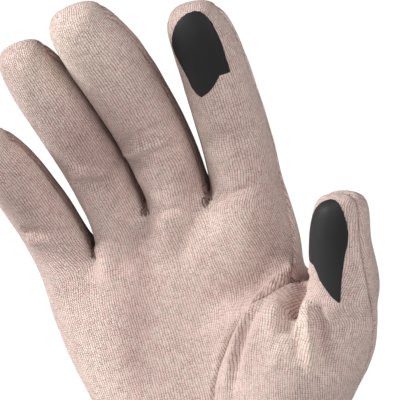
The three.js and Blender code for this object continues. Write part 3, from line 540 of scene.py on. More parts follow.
def refine_first(points, loops):
    """The same for the first round, where a face may have more than four sides."""
    count = len(points)
    edges, sides, around, touching = {}, {}, [[] for _ in points], [[] for _ in points]
    middles = [np.mean([points[i] for i in loop], 0) for loop in loops]
    for n, loop in enumerate(loops):
        for k, i in enumerate(loop):
            key = tuple(sorted((i, loop[(k + 1) % len(loop)])))
            edges.setdefault(key, len(edges))
            sides.setdefault(key, []).append(n)
            around[i].append(n)
    for key in edges:
        for i in key:
            touching[i].append(key)
    new_points = [None] * count
    for i, p in enumerate(points):
        if not around[i]:
            new_points[i] = p
            continue
        free = [key for key in touching[i] if len(sides[key]) == 1]
        if free:
            ends = [points[key[0] if key[1] == i else key[1]] for key in free]
            new_points[i] = 0.75 * p + 0.125 * sum(ends)
            continue
        n = len(around[i])
        f = sum(middles[k] for k in around[i]) / n
        e = sum((points[key[0]] + points[key[1]]) / 2 for key in touching[i]) / n
        new_points[i] = (f + 2 * e + (n - 3) * p) / n
    for key in edges:
        half = (points[key[0]] + points[key[1]]) / 2
        if len(sides[key]) == 2:
            half = (half + (middles[sides[key][0]] + middles[sides[key][1]]) / 2) / 2
        new_points.append(half)
    new_points.extend(middles)
    quads, parents = [], []
    for n, loop in enumerate(loops):
        for k, i in enumerate(loop):
            before = count + edges[tuple(sorted((loop[k - 1], i)))]
            after = count + edges[tuple(sorted((i, loop[(k + 1) % len(loop)])))]
            quads.append((i, after, count + len(edges) + n, before))
            parents.append(n)
    return np.array(new_points), np.array(quads), parents


ROUNDS = 4
loops = [loop for loop, piece in faces]
cloth_points, cloth_quads, parents = refine_first(corners, loops)
cloth_pieces = np.array([faces[n][1] for n in parents])
for number in range(ROUNDS - 1):
    cloth_points, cloth_quads = refine(cloth_points, cloth_quads)
    cloth_pieces = np.repeat(cloth_pieces, 4)


def outward(points, quads):
    """Ways out of the cloth at each corner."""
    across = points[quads[:, 2]] - points[quads[:, 0]]
    up = points[quads[:, 3]] - points[quads[:, 1]]
    out = np.cross(across, up)
    ways = np.zeros_like(points)
    np.add.at(ways, quads.reshape(-1), np.repeat(out, 4, 0))
    return ways / np.maximum(np.linalg.norm(ways, axis=1), 1e-9)[:, None]


# Folds of the worn cloth on the palm side: height (minus for a furrow), how far its crest leans
# to the little-finger side, half width, and a curved line by x and z.
FOLDS = [
    # high, lean, wide, from, via, to
    (1.2, 0.3, 1.4, (36, 126.6), (22.2, 120.1), (3.6, 94)),
    (-1.3, 0, 1.4, (33, 124.8), (21.4, 116.2), (6.6, 93)),
    (1.1, -0.4, 1.7, (37.5, 129.6), (34.5, 128.6), (27, 126)),
    (1.2, 0.2, 2.4, (33.5, 122.8), (25.8, 115.7), (13.5, 99)),
    (1.3, -0.8, 2.3, (35.4, 124), (32.2, 117.5), (26.5, 108)),
    (-4.2, 0, 2.8, (43, 129.5), (41, 123.4), (37, 117.5)),
    (-2.6, 0, 3.4, (42.6, 128), (39.4, 120), (31.5, 107)),
    (1.3, 1.0, 1.4, (45.8, 128), (42.2, 119.5), (34, 105)),
    (1.0, 0, 2.0, (36, 114.5), (32.2, 110), (27.5, 103)),
    (-1.6, 0, 1.6, (41.6, 120), (39, 113), (34.6, 103)),
    (1.7, -0.3, 1.6, (45, 124), (42.6, 111), (38.8, 97)),
    (-2.0, 0, 2.2, (48.2, 122), (45.8, 110.5), (41.6, 96)),
    (1.0, 0, 2.8, (-2.5, 168.5), (7, 169), (20, 169)),
    (-1.7, 0, 1.3, (-3, 174), (7, 174.5), (18, 175)),
    (1.9, 0, 1.4, (-3, 177.3), (7, 177.8), (19, 178.3)),
    (-1.6, 0, 1.5, (-3, 181), (7, 181.5), (19, 182)),
    (-1.7, 0, 1.5, (-20, 173), (-13, 171.5), (-4, 168.5)),
    (1.5, 0, 1.6, (-20, 177), (-13, 175.5), (-4, 172.5)),
    (0.9, 0, 2.6, (-20, 167.5), (-13, 166), (-5, 164)),
    (-1.2, 0, 1.3, (-40, 164.5), (-36, 163), (-28, 161.5)),
    (0.8, 0, 1.8, (-40, 161), (-36, 159.5), (-28, 158)),
    (0.9, 0, 2.8, (21, 169.5), (32, 169), (42, 167.5)),
    (-1.5, 0, 1.4, (21, 175), (32, 174), (42, 172.6)),
    (-0.9, 0, 1.2, (0, 158.5), (7, 157), (16, 157.5)),
    (0.4, 0, 1.8, (-1, 162.5), (7, 161.5), (16, 162)),
    (-1.0, 0, 1.2, (20, 157.5), (27, 156.5), (36, 158)),
    (-1.7, 0, 4.0, (-3, 160), (-9.6, 151), (-16, 140)),
    (-1.8, 0, 4.0, (16, 158), (10, 149), (1.5, 139)),
    (1.0, 0, 3.4, (-20, 154), (-19, 147), (-21, 138)),
    (1.0, 0, 3.4, (4, 157), (2.4, 151), (-3, 142)),
    (0.8, 0, 3.4, (21.5, 154), (20, 147), (15, 139)),
]


# Folds fade where the cloth turns away from the palm side, over this much turn, from the first
# limit on the hand and the second on the fingers, which start at this height.
FADE_TURN = 0.4
FADE_LIMITS = (0.25, -0.15)
FADE_HEIGHT = 138
FADE_RISE = 10
# Points along a fold's line, how many half widths out its bell is worked out, and its first share.
FOLD_POINTS = 181
FOLD_REACH = 3
FOLD_START = 0.12
# A fold grows over this share of its line from its start and dies out over this share at its end.
FOLD_GROWS = 0.22
FOLD_DIES = 0.3


def fold_shifts(points, ways):
    """How far the folds move each corner."""
    limb = mix(FADE_LIMITS[0], FADE_LIMITS[1], np.clip((points[:, 2] - FADE_HEIGHT) / FADE_RISE, 0, 1))
    facing = np.clip((limb - ways[:, 1]) / FADE_TURN, 0, 1)
    total = np.zeros(points.shape)
    for high, lean, wide, start, via, end in FOLDS:
        start, via, end = (np.array(p, float) for p in (start, via, end))
        pull = 2 * via - (start + end) / 2
        t = np.linspace(0, 1, FOLD_POINTS)[:, None]
        line = start * (1 - t) ** 2 + 2 * pull * t * (1 - t) + end * t ** 2
        low, high_end = line.min(0) - FOLD_REACH * wide, line.max(0) + FOLD_REACH * wide
        flat = points[:, [0, 2]]
        near = np.nonzero((facing > 0) & (flat > low).all(1) & (flat < high_end).all(1))[0]
        away = np.linalg.norm(flat[near][:, None] - line[None], axis=2)
        best = away.argmin(1)
        share = t[best, 0]
        taper = np.clip(np.minimum(FOLD_START + share / FOLD_GROWS, (1 - share) / FOLD_DIES), 0, 1)
        taper = taper * taper * (3 - 2 * taper)
        bell = (taper * np.exp(-(away.min(1) / wide) ** 2) * facing[near])[:, None]
        total[near] += high * bell * ways[near] - bell ** 2 * np.array((lean, 0, 0))
    return total


cloth_ways = outward(cloth_points, cloth_quads)
cloth_points = cloth_points + fold_shifts(cloth_points, cloth_ways)
cloth_ways = outward(cloth_points, cloth_quads)

# Thickness of the cloth.
WALL = 1.1
# How far apart two panels lie at a seam, how deep the cloth is pulled in there, less at the side
# strips, and how far from the seam that reaches; the height of the turned hem at the wrist.
SEAM_GAP = 0.06
SEAM_DIP = 0.8
STRIP_DIP = 0.25
SEAM_REACH = 0.85
HEM_TOP = 17.0
# Heights of the pucker along a seam, at the side strips and elsewhere, how far it reaches and how
# fine it is; height and fineness of the loose drape of the cloth; how much the doubled hem stands
# out and how sharply it ends, and the depth and half width of its stitch line.
SOFT_PUCKER = 0.05
PUCKER = 0.2
PUCKER_REACH = 3.0
PUCKER_SCALE = 0.45
DRAPE = 0.22
DRAPE_SCALE = 0.11
HEM_STANDS = 0.35
HEM_EDGE = 3
HEM_DIP = 0.3
HEM_LINE = 0.8
strip_corners = np.unique(cloth_quads[np.isin(cloth_pieces, SIDE_STRIPS)])


# The index finger's seam on the thumb side lies flat with no stitch to be seen: beyond this x,
# above this height, and clear of the thumb by x or above the thumb's tip.
FLAT_FROM = 25
FLAT_ABOVE = 128
THUMB_FROM = 46
THUMB_BELOW = 158


def flat_seam(points):
    """Which places lie along the flat seam."""
    x, z = points[:, 0], points[:, 2]
    return (x > FLAT_FROM) & (z > FLAT_ABOVE) & ((x < THUMB_FROM) | (z > THUMB_BELOW))


# Painted shade that makes the palm side darker and pinker (plus) and painted light that makes it
# lighter and more beige (minus), in soft spots: amount, place by x and z, half width and half height.
PAINTED_LIGHT_AND_SHADE = [
    # amount, x, z, wide, high
    (-0.65, 2, 212, 14, 15),
    (0.42, -10, 179, 10, 13),
    (0.12, 6, 186, 9, 11),
    (-0.25, -14, 206, 9, 9),
    (0.35, 14.5, 163, 3, 7),
    (0.45, 19, 202, 4.5, 14),
    (0.25, 2, 196, 12, 12),
    (0.2, 26, 190, 7, 8),
    (-0.5, 24.5, 176, 4.5, 14),
    (0.15, 33, 176, 9, 5),
    (0.2, 39, 155, 6, 12),
    (-0.25, 20, 146, 9, 8),
    (0.35, -36, 170, 9, 16),
    (0.15, -10, 186, 8, 14),
    (0.4, -8, 145, 5, 9),
    (0.4, -13, 131, 6, 10),
    (0.4, -18, 115, 6, 10),
    (-0.3, -33, 110, 8, 26),
    (0.45, 26, 130, 11, 6),
    (0.2, 18, 118, 8, 8),
    (0.8, 40.5, 123.6, 2.6, 3.2),
    (0.2, 37.5, 119, 3.2, 4.0),
    (0.35, 46, 112, 2.2, 8),
    (-0.45, 43.2, 116, 2.6, 8),
    (-0.3, 40, 103, 4, 8),
    (-0.3, 33, 111, 4, 6),
]
# Along a side strip, the distances from its middle where its painted shade starts and ends to fade.
STRIP_FADE = (42, 78)
# How much of a strip's painted shade is gone at its ends.
STRIP_LOSS = 0.8


def painted_light_and_shade_of(piece, points, ways, places):
    """Painted light and shade of each corner; on the strips it is painted shade, darkest between the roots
    of the fingers.
    """
    # The side strips get painted shade between the fingers, full between the roots and fading up the
    # fingers.
    if piece in SIDE_STRIPS:
        past = (np.abs(places[:, 1]) - STRIP_FADE[0]) / (STRIP_FADE[1] - STRIP_FADE[0])
        return 1 - STRIP_LOSS * np.clip(past, 0, 1)
    # Spots of painted shade and painted light, only where the cloth faces the palm side.
    facing = np.clip((0.4 - ways[:, 1]) / 0.6, 0, 1)
    total = np.zeros(len(points))
    for amount, x, z, wide, high in PAINTED_LIGHT_AND_SHADE:
        total += amount * np.exp(-((points[:, 0] - x) / wide) ** 2 - ((points[:, 2] - z) / high) ** 2)
    return total * facing


def panel_net(piece):
    """The finished faces of one cut piece: its corners, four-sided faces and flat cloth places."""
    quads = cloth_quads[cloth_pieces == piece]
    used, local = np.unique(quads, return_inverse=True)
    quads = local.reshape(-1, 4)
    piece_loops = [loop for loop, name in faces if name == piece]
    flat = np.array([knit_places[piece].get(i, (0.0, 0.0)) for i in range(len(corners))], float)
    flat, flat_quads, _ = refine_first(list(flat), piece_loops)
    for _ in range(ROUNDS - 1):
        flat, flat_quads = refine(flat, flat_quads)
    places = np.zeros((len(used), 2))
    places[quads.reshape(-1)] = flat[flat_quads.reshape(-1)]
    soft = np.isin(used, strip_corners) | flat_seam(cloth_points[used])
    return cloth_points[used], cloth_ways[used], quads, places, soft


def rim_of(quads):
    """Open edges of a net as starts, ends and their places in the face list."""
    a = quads.reshape(-1)
    b = np.roll(quads, -1, 1).reshape(-1)
    all_keys = edge_key(a, b, int(quads.max()) + 1)
    _, index, uses = np.unique(all_keys, return_index=True, return_counts=True)
    single = index[uses == 1]
    return np.stack([a[single], b[single], single], 1)


def shaped_panel(piece):
    """Outer and inner faces of one cut piece, sunk and drawn in along its seams."""
    points, ways, quads, places, by_strip = panel_net(piece)
    rim = rim_of(quads)
    hem = (points[rim[:, 0], 2] < 0.01) & (points[rim[:, 1], 2] < 0.01)
    seams = rim[~hem]
    draw = np.zeros_like(points)
    run = points[seams[:, 1]] - points[seams[:, 0]]
    for end in (0, 1):
        inward = np.cross(ways[seams[:, end]], run)
        inward /= np.maximum(np.linalg.norm(inward, axis=1), 1e-9)[:, None]
        np.add.at(draw, seams[:, end], inward)
    lengths = np.linalg.norm(draw, axis=1)
    on_seam = lengths > 0
    draw[on_seam] /= lengths[on_seam][:, None]
    tree = kdtree.KDTree(int(on_seam.sum()))
    for n, i in enumerate(np.nonzero(on_seam)[0]):
        tree.insert(Vector(points[i]), n)
    tree.balance()
    nearest = [tree.find(Vector(p)) for p in points]
    away = np.array([found[2] for found in nearest])
    soft = by_strip[on_seam][[found[1] for found in nearest]]
    dip = np.where(soft, STRIP_DIP, SEAM_DIP) * np.exp(-(away / SEAM_REACH) ** 2)
    pucker = np.array([noise.noise(Vector(p) * PUCKER_SCALE) for p in points])
    drape = np.array([noise.noise(Vector(p) * DRAPE_SCALE + Vector((7, 3, 1))) for p in points])
    near_seam = np.exp(-(away / PUCKER_REACH) ** 2)
    lift = -dip + np.where(soft, SOFT_PUCKER, PUCKER) * pucker * near_seam + DRAPE * drape
    over_hem = points[:, 2] - HEM_TOP
    lift += HEM_STANDS / (1 + np.exp(over_hem * HEM_EDGE)) - HEM_DIP * np.exp(-(over_hem / HEM_LINE) ** 2)
    outer = points + ways * lift[:, None] + draw * SEAM_GAP / 2
    outer_ways = outward(outer, quads)
    inner = outer - outer_ways * WALL
    return outer, inner, quads, places, painted_light_and_shade_of(piece, outer, outer_ways, places)


def scene_object(name, data):
    """A new object with its mesh, light or camera, in the scene."""
    obj = bpy.data.objects.new(name, data)
    bpy.context.scene.collection.objects.link(obj)
    return obj


def feed(tree, node, inputs):
    """Links each input of a node from another node's output, or sets it to a value."""
    for key, value in inputs.items():
        if isinstance(value, bpy.types.NodeSocket):
            tree.links.new(value, node.inputs[key])
        else:
            node.inputs[key].default_value = value


def add_node(tree, kind, inputs, operation=None, data_type=None, mode=None):
    """A new node with its inputs fed; what it works on is settled first, as its inputs hang on it."""
    node = tree.nodes.new(kind)
    if operation:
        node.operation = operation
    if data_type:
        node.data_type = data_type
    if mode:
        node.mode = mode
    feed(tree, node, inputs)
    return node


def plain_material(name, settings):
    """A material with its Principled shader set as given, and that shader."""
    material = bpy.data.materials.new(name)
    material.use_nodes = True
    shader = material.node_tree.nodes["Principled BSDF"]
    feed(material.node_tree, shader, settings)
    return material, shader


def cloth_object(piece, material):
    """A closed shell of knitted cloth with its flat cloth places as a UV map, in metres.

    The hidden inner side has one round of corners less than the outer side."""
    outer, inner, quads, places, painted_light_and_shade = shaped_panel(piece)
    count = len(outer)
    coarse = quads[:, 0].reshape(-1, 4)
    kept, local = np.unique(coarse, return_inverse=True)
    inside = np.zeros(count, int)
    inside[kept] = np.arange(len(kept)) + count
    start, end, place = rim_of(coarse).T
    walls = np.stack([end, quads[place, 1], start, inside[start], inside[end]], 1)
    shell = quads.tolist() + (local.reshape(-1, 4)[:, ::-1] + count).tolist() + walls.tolist()
    mesh = bpy.data.meshes.new(piece)
    mesh.from_pydata((np.concatenate([outer, inner[kept]]) / 1000).tolist(), [], shell)
    layer = mesh.uv_layers.new(name="knit")
    both = np.concatenate([places, places[kept]])
    around = np.concatenate([np.array(loop) for loop in shell])
    layer.data.foreach_set("uv", both[around].astype(np.float32).reshape(-1))
    # Painted light and shade of each corner, read by the wool's shader.
    painted_shading = mesh.attributes.new("painted_light_and_shade", "FLOAT", "POINT")
    painted_shading.data.foreach_set("value", np.concatenate([painted_light_and_shade, painted_light_and_shade[kept]]).astype(np.float32))
    mesh.polygons.foreach_set("use_smooth", [True] * len(shell))
    mesh.materials.append(material)
    mesh.update()
    return scene_object(piece, mesh)


def socket(tree, kind, direction, name, value=None):
    """A named input or output of a node group, with its starting value."""
    item = tree.interface.new_socket(name=name, in_out=direction, socket_type=kind)
    if value is not None:
        item.default_value = value
    return item


def jersey_group():
    """Shader node group: colour and height of fine jersey knit from the flat cloth places."""
    tree = bpy.data.node_groups.new("jersey_knit", "ShaderNodeTree")
    for kind, name, value in (("Vector", "Cloth place", None),
                              ("Color", "Pink yarn", (0.7, 0.5, 0.45, 1)),
                              ("Color", "Beige yarn", (0.7, 0.55, 0.47, 1)),
                              ("Color", "Shade between loops", (0.3, 0.2, 0.17, 1)),
                              ("Float", "Wale width", 0.82),
                              ("Float", "Course height", 0.7),
                              ("Float", "Fuzz", 0.5),
                              ("Float", "Loop contrast", 1.1),
                              # Painted light and shade (plus for shade, minus for light) and the tints it
                              # mixes in.
                              ("Float", "Painted light and shade", 0.0),
                              ("Color", "Painted shade tint", (0.46, 0.39, 0.38, 1)),
                              ("Color", "Painted light tint", (1.32, 1.36, 1.32, 1))):
        socket(tree, "NodeSocket" + kind, "INPUT", name, value)
    socket(tree, "NodeSocketColor", "OUTPUT", "Colour")
    socket(tree, "NodeSocketFloat", "OUTPUT", "Height")
    given = tree.nodes.new("NodeGroupInput").outputs
    end = tree.nodes.new("NodeGroupOutput")

    def math_node(operation, *values):
        return add_node(tree, "ShaderNodeMath", dict(enumerate(values)), operation=operation).outputs[0]

    def noise_node(vector, scale, detail, roughness):
        node = add_node(tree, "ShaderNodeTexNoise", {"Vector": vector, "Scale": scale, "Detail": detail,
                                                     "Roughness": roughness})
        return math_node("SUBTRACT", node.outputs["Fac"], 0.5)

    def joined(x, y):
        return add_node(tree, "ShaderNodeCombineXYZ", {0: x, 1: y}).outputs[0]

    def clamped(value):
        return add_node(tree, "ShaderNodeClamp", {"Value": value}).outputs["Result"]

    def blend(factor, a, b):
        inputs = {"Factor": factor, "A": a, "B": b}
        return add_node(tree, "ShaderNodeMix", inputs, data_type="RGBA").outputs["Result"]

    # The wales and courses sway and jitter a little, as soft jersey does.
    place = given["Cloth place"]
    axes = add_node(tree, "ShaderNodeSeparateXYZ", {0: place}).outputs
    jitter = math_node("MULTIPLY", noise_node(place, 1.4, 2, 0.5), 0.35)
    shift = math_node("ADD", noise_node(place, 0.3, 2, 0.5), jitter)
    wale = math_node("DIVIDE", math_node("ADD", axes["X"], shift), given["Wale width"])
    course = math_node("DIVIDE", math_node("ADD", axes["Y"], shift), given["Course height"])

    # Height: a rounded wale with slanted loops on either side of its middle, and fuzz.
    side = math_node("SUBTRACT", math_node("FRACT", wale), 0.5)
    across = math_node("MULTIPLY", math_node("ABSOLUTE", side), 2.0)
    slant = math_node("ADD", course, math_node("MULTIPLY", across, 0.55))
    wave = math_node("COSINE", math_node("MULTIPLY", slant, 2 * math.pi))
    loop = math_node("MULTIPLY_ADD", wave, 0.5, 0.5)
    rib = math_node("SUBTRACT", 1.0, math_node("POWER", across, 2.5))
    height = math_node("MULTIPLY", rib, math_node("MULTIPLY_ADD", loop, 0.55, 0.45))
    fibre = math_node("MULTIPLY", noise_node(place, 2.4, 4, 0.65), given["Fuzz"])
    height = math_node("ADD", height, fibre)

    # Tone: the height, a tone for each loop, streaks along the wales and soft patches.
    cell = joined(math_node("FLOOR", wale), math_node("FLOOR", course))
    stitch = tree.nodes.new("ShaderNodeTexWhiteNoise")
    stitch.noise_dimensions = "2D"
    feed(tree, stitch, {"Vector": cell})
    loop_tone = math_node("SUBTRACT", stitch.outputs["Value"], 0.5)
    long_place = joined(math_node("MULTIPLY", axes["X"], 1.6), math_node("MULTIPLY", axes["Y"], 0.16))
    tone = math_node("SUBTRACT", height, 0.44)
    tone = math_node("MULTIPLY_ADD", tone, given["Loop contrast"], 0.62)
    tone = math_node("MULTIPLY_ADD", loop_tone, 0.34, tone)
    tone = math_node("MULTIPLY_ADD", noise_node(long_place, 1.0, 3, 0.6), 0.45, tone)
    tone = math_node("MULTIPLY_ADD", noise_node(place, 0.2, 5, 0.62), 0.5, tone)

    # Hue: the two yarns mix in patches; painted shade brings out the pink one and painted light the beige
    # one.
    hue = math_node("MULTIPLY_ADD", noise_node(place, 0.33, 3, 0.55), 4.0, 0.5)
    hue = clamped(math_node("SUBTRACT", hue, given["Painted light and shade"]))
    yarn = blend(hue, given["Pink yarn"], given["Beige yarn"])
    knit_colour = blend(tone, given["Shade between loops"], yarn)
    # Painted shade multiplies the colour by one tint, darker, and painted light by the other, lighter.
    for sign, tint in ((1.0, "Painted shade tint"), (-1.0, "Painted light tint")):
        amount = clamped(math_node("MULTIPLY", given["Painted light and shade"], sign))
        tinted = add_node(tree, "ShaderNodeVectorMath", {0: knit_colour, 1: given[tint]},
                          operation="MULTIPLY")
        knit_colour = blend(amount, knit_colour, tinted.outputs[0])
    feed(tree, end, {"Colour": knit_colour, "Height": height})
    return tree


jersey = jersey_group()


def wool_material(name, pink, beige, shade, fuzz):
    """Fine wool jersey in two mixed yarns, with the shade between its loops."""
    material, shader = plain_material(name, {
        "Roughness": 0.95, "Specular IOR Level": 0.12, "Sheen Weight": 0.25,
        "Sheen Roughness": 0.45, "Sheen Tint": (0.97, 0.92, 0.88, 1)})
    tree = material.node_tree
    place = tree.nodes.new("ShaderNodeUVMap")
    place.uv_map = "knit"
    # The painted light and shade laid on the cloth's corners.
    painted_shading = tree.nodes.new("ShaderNodeAttribute")
    painted_shading.attribute_name = "painted_light_and_shade"
    knit_node = tree.nodes.new("ShaderNodeGroup")
    knit_node.node_tree = jersey
    feed(tree, knit_node, {"Cloth place": place.outputs["UV"], "Painted light and shade": painted_shading.outputs["Fac"],
                           "Pink yarn": pink, "Beige yarn": beige, "Shade between loops": shade,
                           "Fuzz": fuzz})
    bump = add_node(tree, "ShaderNodeBump", {"Strength": 0.9, "Distance": 0.00025,
                                             "Height": knit_node.outputs["Height"]})
    feed(tree, shader, {"Base Color": knit_node.outputs["Colour"], "Normal": bump.outputs["Normal"]})
    return material


wool = wool_material("wool", (0.80, 0.60, 0.55, 1), (0.80, 0.65, 0.58, 1),
                     (0.26, 0.165, 0.145, 1), 0.4)
# The strips' yarn and the shade between its loops are a touch darker: painted shade between the fingers.
wool_side = wool_material("wool_side", (0.80, 0.60, 0.54, 1), (0.80, 0.65, 0.57, 1),
                          (0.24, 0.15, 0.13, 1), 0.7)

palm_panel = cloth_object("palm_panel", wool)
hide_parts("palm_panel")
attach(palm_panel, "root")

# Thumb panel
# The pad side of the thumb with its ball, a separate cut piece of the same jersey, gathered
# a little where it turns round the fork and sewn into the palm along a curved seam.
thumb_panel = cloth_object("thumb_panel", wool)
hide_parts("thumb_panel")
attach(thumb_panel, "root")

# Back panel
# The back of the hand, fingers and thumb in one cut piece of the same jersey, sewn to the palm
# along the little finger's side and to the thumb panel along the thumb's outer side.
back_panel = cloth_object("back_panel", wool)
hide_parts("back_panel")
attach(back_panel, "root")

# Side strips between the fingers
# Three narrow strips of the same jersey, each running up one finger and down the next and sewn
# between the palm panel and the back panel. Rubbing has left them a little fuzzier, and their
# yarn is a touch darker as painted shade between the fingers.
for strip in SIDE_STRIPS:
    side_strip = cloth_object(strip, wool_side)
    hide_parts(strip)
    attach(side_strip, "root")

# Seam stitches
# Fine yarn stitches lying across the seams of the hand and thumb, and one row round the wrist
# that holds the turned hem, all sewn after the panels are joined.
def stitch_group():
    """Geometry nodes: one short bowed stitch at even steps along every line."""
    tree = bpy.data.node_groups.new("sewn_stitches", "GeometryNodeTree")
    socket(tree, "NodeSocketGeometry", "INPUT", "Lines")
    sockets = {name: socket(tree, "NodeSocket" + kind, "INPUT", name, value) for kind, name, value in (
        ("Float", "Step", 0.002), ("Float", "Length", 0.001), ("Float", "Bow", 0.0004),
        ("Float", "Thickness", 0.0002), ("Float", "Turn", 1.57), ("Int", "Seed", 4),
        ("Material", "Material", None))}
    socket(tree, "NodeSocketGeometry", "OUTPUT", "Stitches")
    given = tree.nodes.new("NodeGroupInput").outputs
    end = tree.nodes.new("NodeGroupOutput")

    def vector(axis, value):
        return add_node(tree, "ShaderNodeCombineXYZ", {axis: value}).outputs[0]

    def length_share(share):
        return add_node(tree, "ShaderNodeMath", {0: given["Length"], 1: share},
                        operation="MULTIPLY").outputs[0]

    to_curve = add_node(tree, "GeometryNodeMeshToCurve", {"Mesh": given["Lines"]})
    steps = add_node(tree, "GeometryNodeResampleCurve",
                     {"Curve": to_curve.outputs[0], "Length": given["Step"]}, mode="LENGTH")
    bow = add_node(tree, "GeometryNodeCurveQuadraticBezier",
                   {"Resolution": 4, "Start": vector("X", length_share(-0.5)),
                    "Middle": vector("Z", given["Bow"]), "End": vector("X", length_share(0.5))})
    round_yarn = add_node(tree, "GeometryNodeCurvePrimitiveCircle",
                          {"Resolution": 6, "Radius": given["Thickness"]})
    yarn = add_node(tree, "GeometryNodeCurveToMesh",
                    {"Curve": bow.outputs["Curve"], "Profile Curve": round_yarn.outputs["Curve"],
                     "Fill Caps": True})

    # Each stitch stands on the cloth and turns from the seam's run by its angle, more or less.
    out = add_node(tree, "GeometryNodeInputNamedAttribute", {"Name": "out"}, data_type="FLOAT_VECTOR")
    upright = add_node(tree, "FunctionNodeAlignRotationToVector", {"Vector": out.outputs["Attribute"]})
    upright.axis = "Z"
    tangent = tree.nodes.new("GeometryNodeInputTangent")
    follow = add_node(tree, "FunctionNodeAlignRotationToVector",
                      {"Rotation": upright.outputs[0], "Vector": tangent.outputs[0]})
    follow.axis = "X"
    follow.pivot_axis = "Z"
    wobble = add_node(tree, "FunctionNodeRandomValue", {"Seed": given["Seed"]}, data_type="FLOAT")
    spread = {item.identifier: item for item in wobble.inputs}
    spread["Min_001"].default_value = -0.3
    spread["Max_001"].default_value = 0.3
    more = [item for item in wobble.outputs if item.identifier == "Value_001"][0]
    angle = add_node(tree, "ShaderNodeMath", {0: given["Turn"], 1: more}, operation="ADD")
    about = add_node(tree, "FunctionNodeEulerToRotation", {0: vector("Z", angle.outputs[0])})
    turned = add_node(tree, "FunctionNodeRotateRotation",
                      {"Rotation": follow.outputs[0], "Rotate By": about.outputs[0]})
    turned.rotation_space = "LOCAL"
    placed = add_node(tree, "GeometryNodeInstanceOnPoints",
                      {"Points": steps.outputs["Curve"], "Instance": yarn.outputs["Mesh"],
                       "Rotation": turned.outputs[0]})
    real = add_node(tree, "GeometryNodeRealizeInstances", {0: placed.outputs[0]})
    paint = add_node(tree, "GeometryNodeSetMaterial",
                     {"Geometry": real.outputs[0], "Material": given["Material"]})
    feed(tree, end, {"Stitches": paint.outputs[0]})
    return tree, {name: item.identifier for name, item in sockets.items()}


stitches_tree, stitch_sockets = stitch_group()


def stitch_object(name, points, ways, runs, settings):
    """Stitches along lines given by places, ways out of the cloth and joined pairs."""
    lines = bpy.data.meshes.new(name + "_lines")
    lines.from_pydata((points / 1000).tolist(), runs.tolist(), [])
    out = lines.attributes.new("out", "FLOAT_VECTOR", "POINT")
    out.data.foreach_set("vector", ways.astype(np.float32).reshape(-1))
    carrier = scene_object(name + "_lines", lines)
    modifier = carrier.modifiers.new("stitches", "NODES")
    modifier.node_group = stitches_tree
    for key, value in settings.items():
        modifier[stitch_sockets[key]] = value
    made = carrier.evaluated_get(bpy.context.evaluated_depsgraph_get())
    mesh = bpy.data.meshes.new_from_object(made)
    mesh.name = name
    carrier.modifiers.remove(modifier)
    bpy.data.objects.remove(carrier)
    return scene_object(name, mesh)


def yarn_material(name, light, dark):
    """Plain twisted sewing yarn, its tone changing a little from stitch to stitch."""
    material, shader = plain_material(name, {"Roughness": 0.9, "Specular IOR Level": 0.15})
    tree = material.node_tree
    place = tree.nodes.new("ShaderNodeTexCoord")
    ply = add_node(tree, "ShaderNodeTexNoise", {"Vector": place.outputs["Object"], "Scale": 900,
                                                "Detail": 3})
    tone = add_node(tree, "ShaderNodeMix", {"Factor": ply.outputs["Fac"], "A": dark, "B": light},
                    data_type="RGBA")
    feed(tree, shader, {"Base Color": tone.outputs["Result"]})
    return material


sewing_yarn = yarn_material("sewing_yarn", (0.74, 0.55, 0.49, 1), (0.46, 0.31, 0.27, 1))
knot_yarn = yarn_material("knot_yarn", (0.30, 0.20, 0.17, 1), (0.10, 0.06, 0.05, 1))

# Two panels meet on a seam line where an edge of the net lies between faces of different pieces.
edge_starts = cloth_quads.reshape(-1)
edge_ends = np.roll(cloth_quads, -1, 1).reshape(-1)
edge_keys = edge_key(edge_starts, edge_ends, len(cloth_points))
keys, order, uses = np.unique(edge_keys, return_inverse=True, return_counts=True)
piece_names = sorted(set(cloth_pieces))
piece_numbers = np.repeat(np.array([piece_names.index(name) for name in cloth_pieces]), 4)
low_piece, high_piece = np.full(len(keys), len(piece_names)), np.full(len(keys), -1)
np.minimum.at(low_piece, order, piece_numbers)
np.maximum.at(high_piece, order, piece_numbers)
strip_numbers = [piece_names.index(name) for name in SIDE_STRIPS]
at_strip = np.isin(low_piece, strip_numbers) | np.isin(high_piece, strip_numbers)
sewn = (uses == 2) & (low_piece != high_piece) & ~at_strip
sewn &= ~flat_seam(cloth_points[keys // len(cloth_points)])
seam_runs = np.stack([keys[sewn] // len(cloth_points), keys[sewn] % len(cloth_points)], 1)
seam_used, seam_local = np.unique(seam_runs, return_inverse=True)
# How deep the stitches start under the net's surface, at the seams and at the hem.
SEAM_SINK = 0.62
HEM_SINK = 0.05
seam_stitches = stitch_object("seam_stitches", cloth_points[seam_used] - cloth_ways[seam_used] * SEAM_SINK,
                              cloth_ways[seam_used], seam_local.reshape(-1, 2),
                              {"Step": 0.0024, "Length": 0.001, "Bow": 0.0003, "Thickness": 0.00013,
                               "Turn": 1.45, "Seed": 4, "Material": sewing_yarn})
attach(seam_stitches, "root")

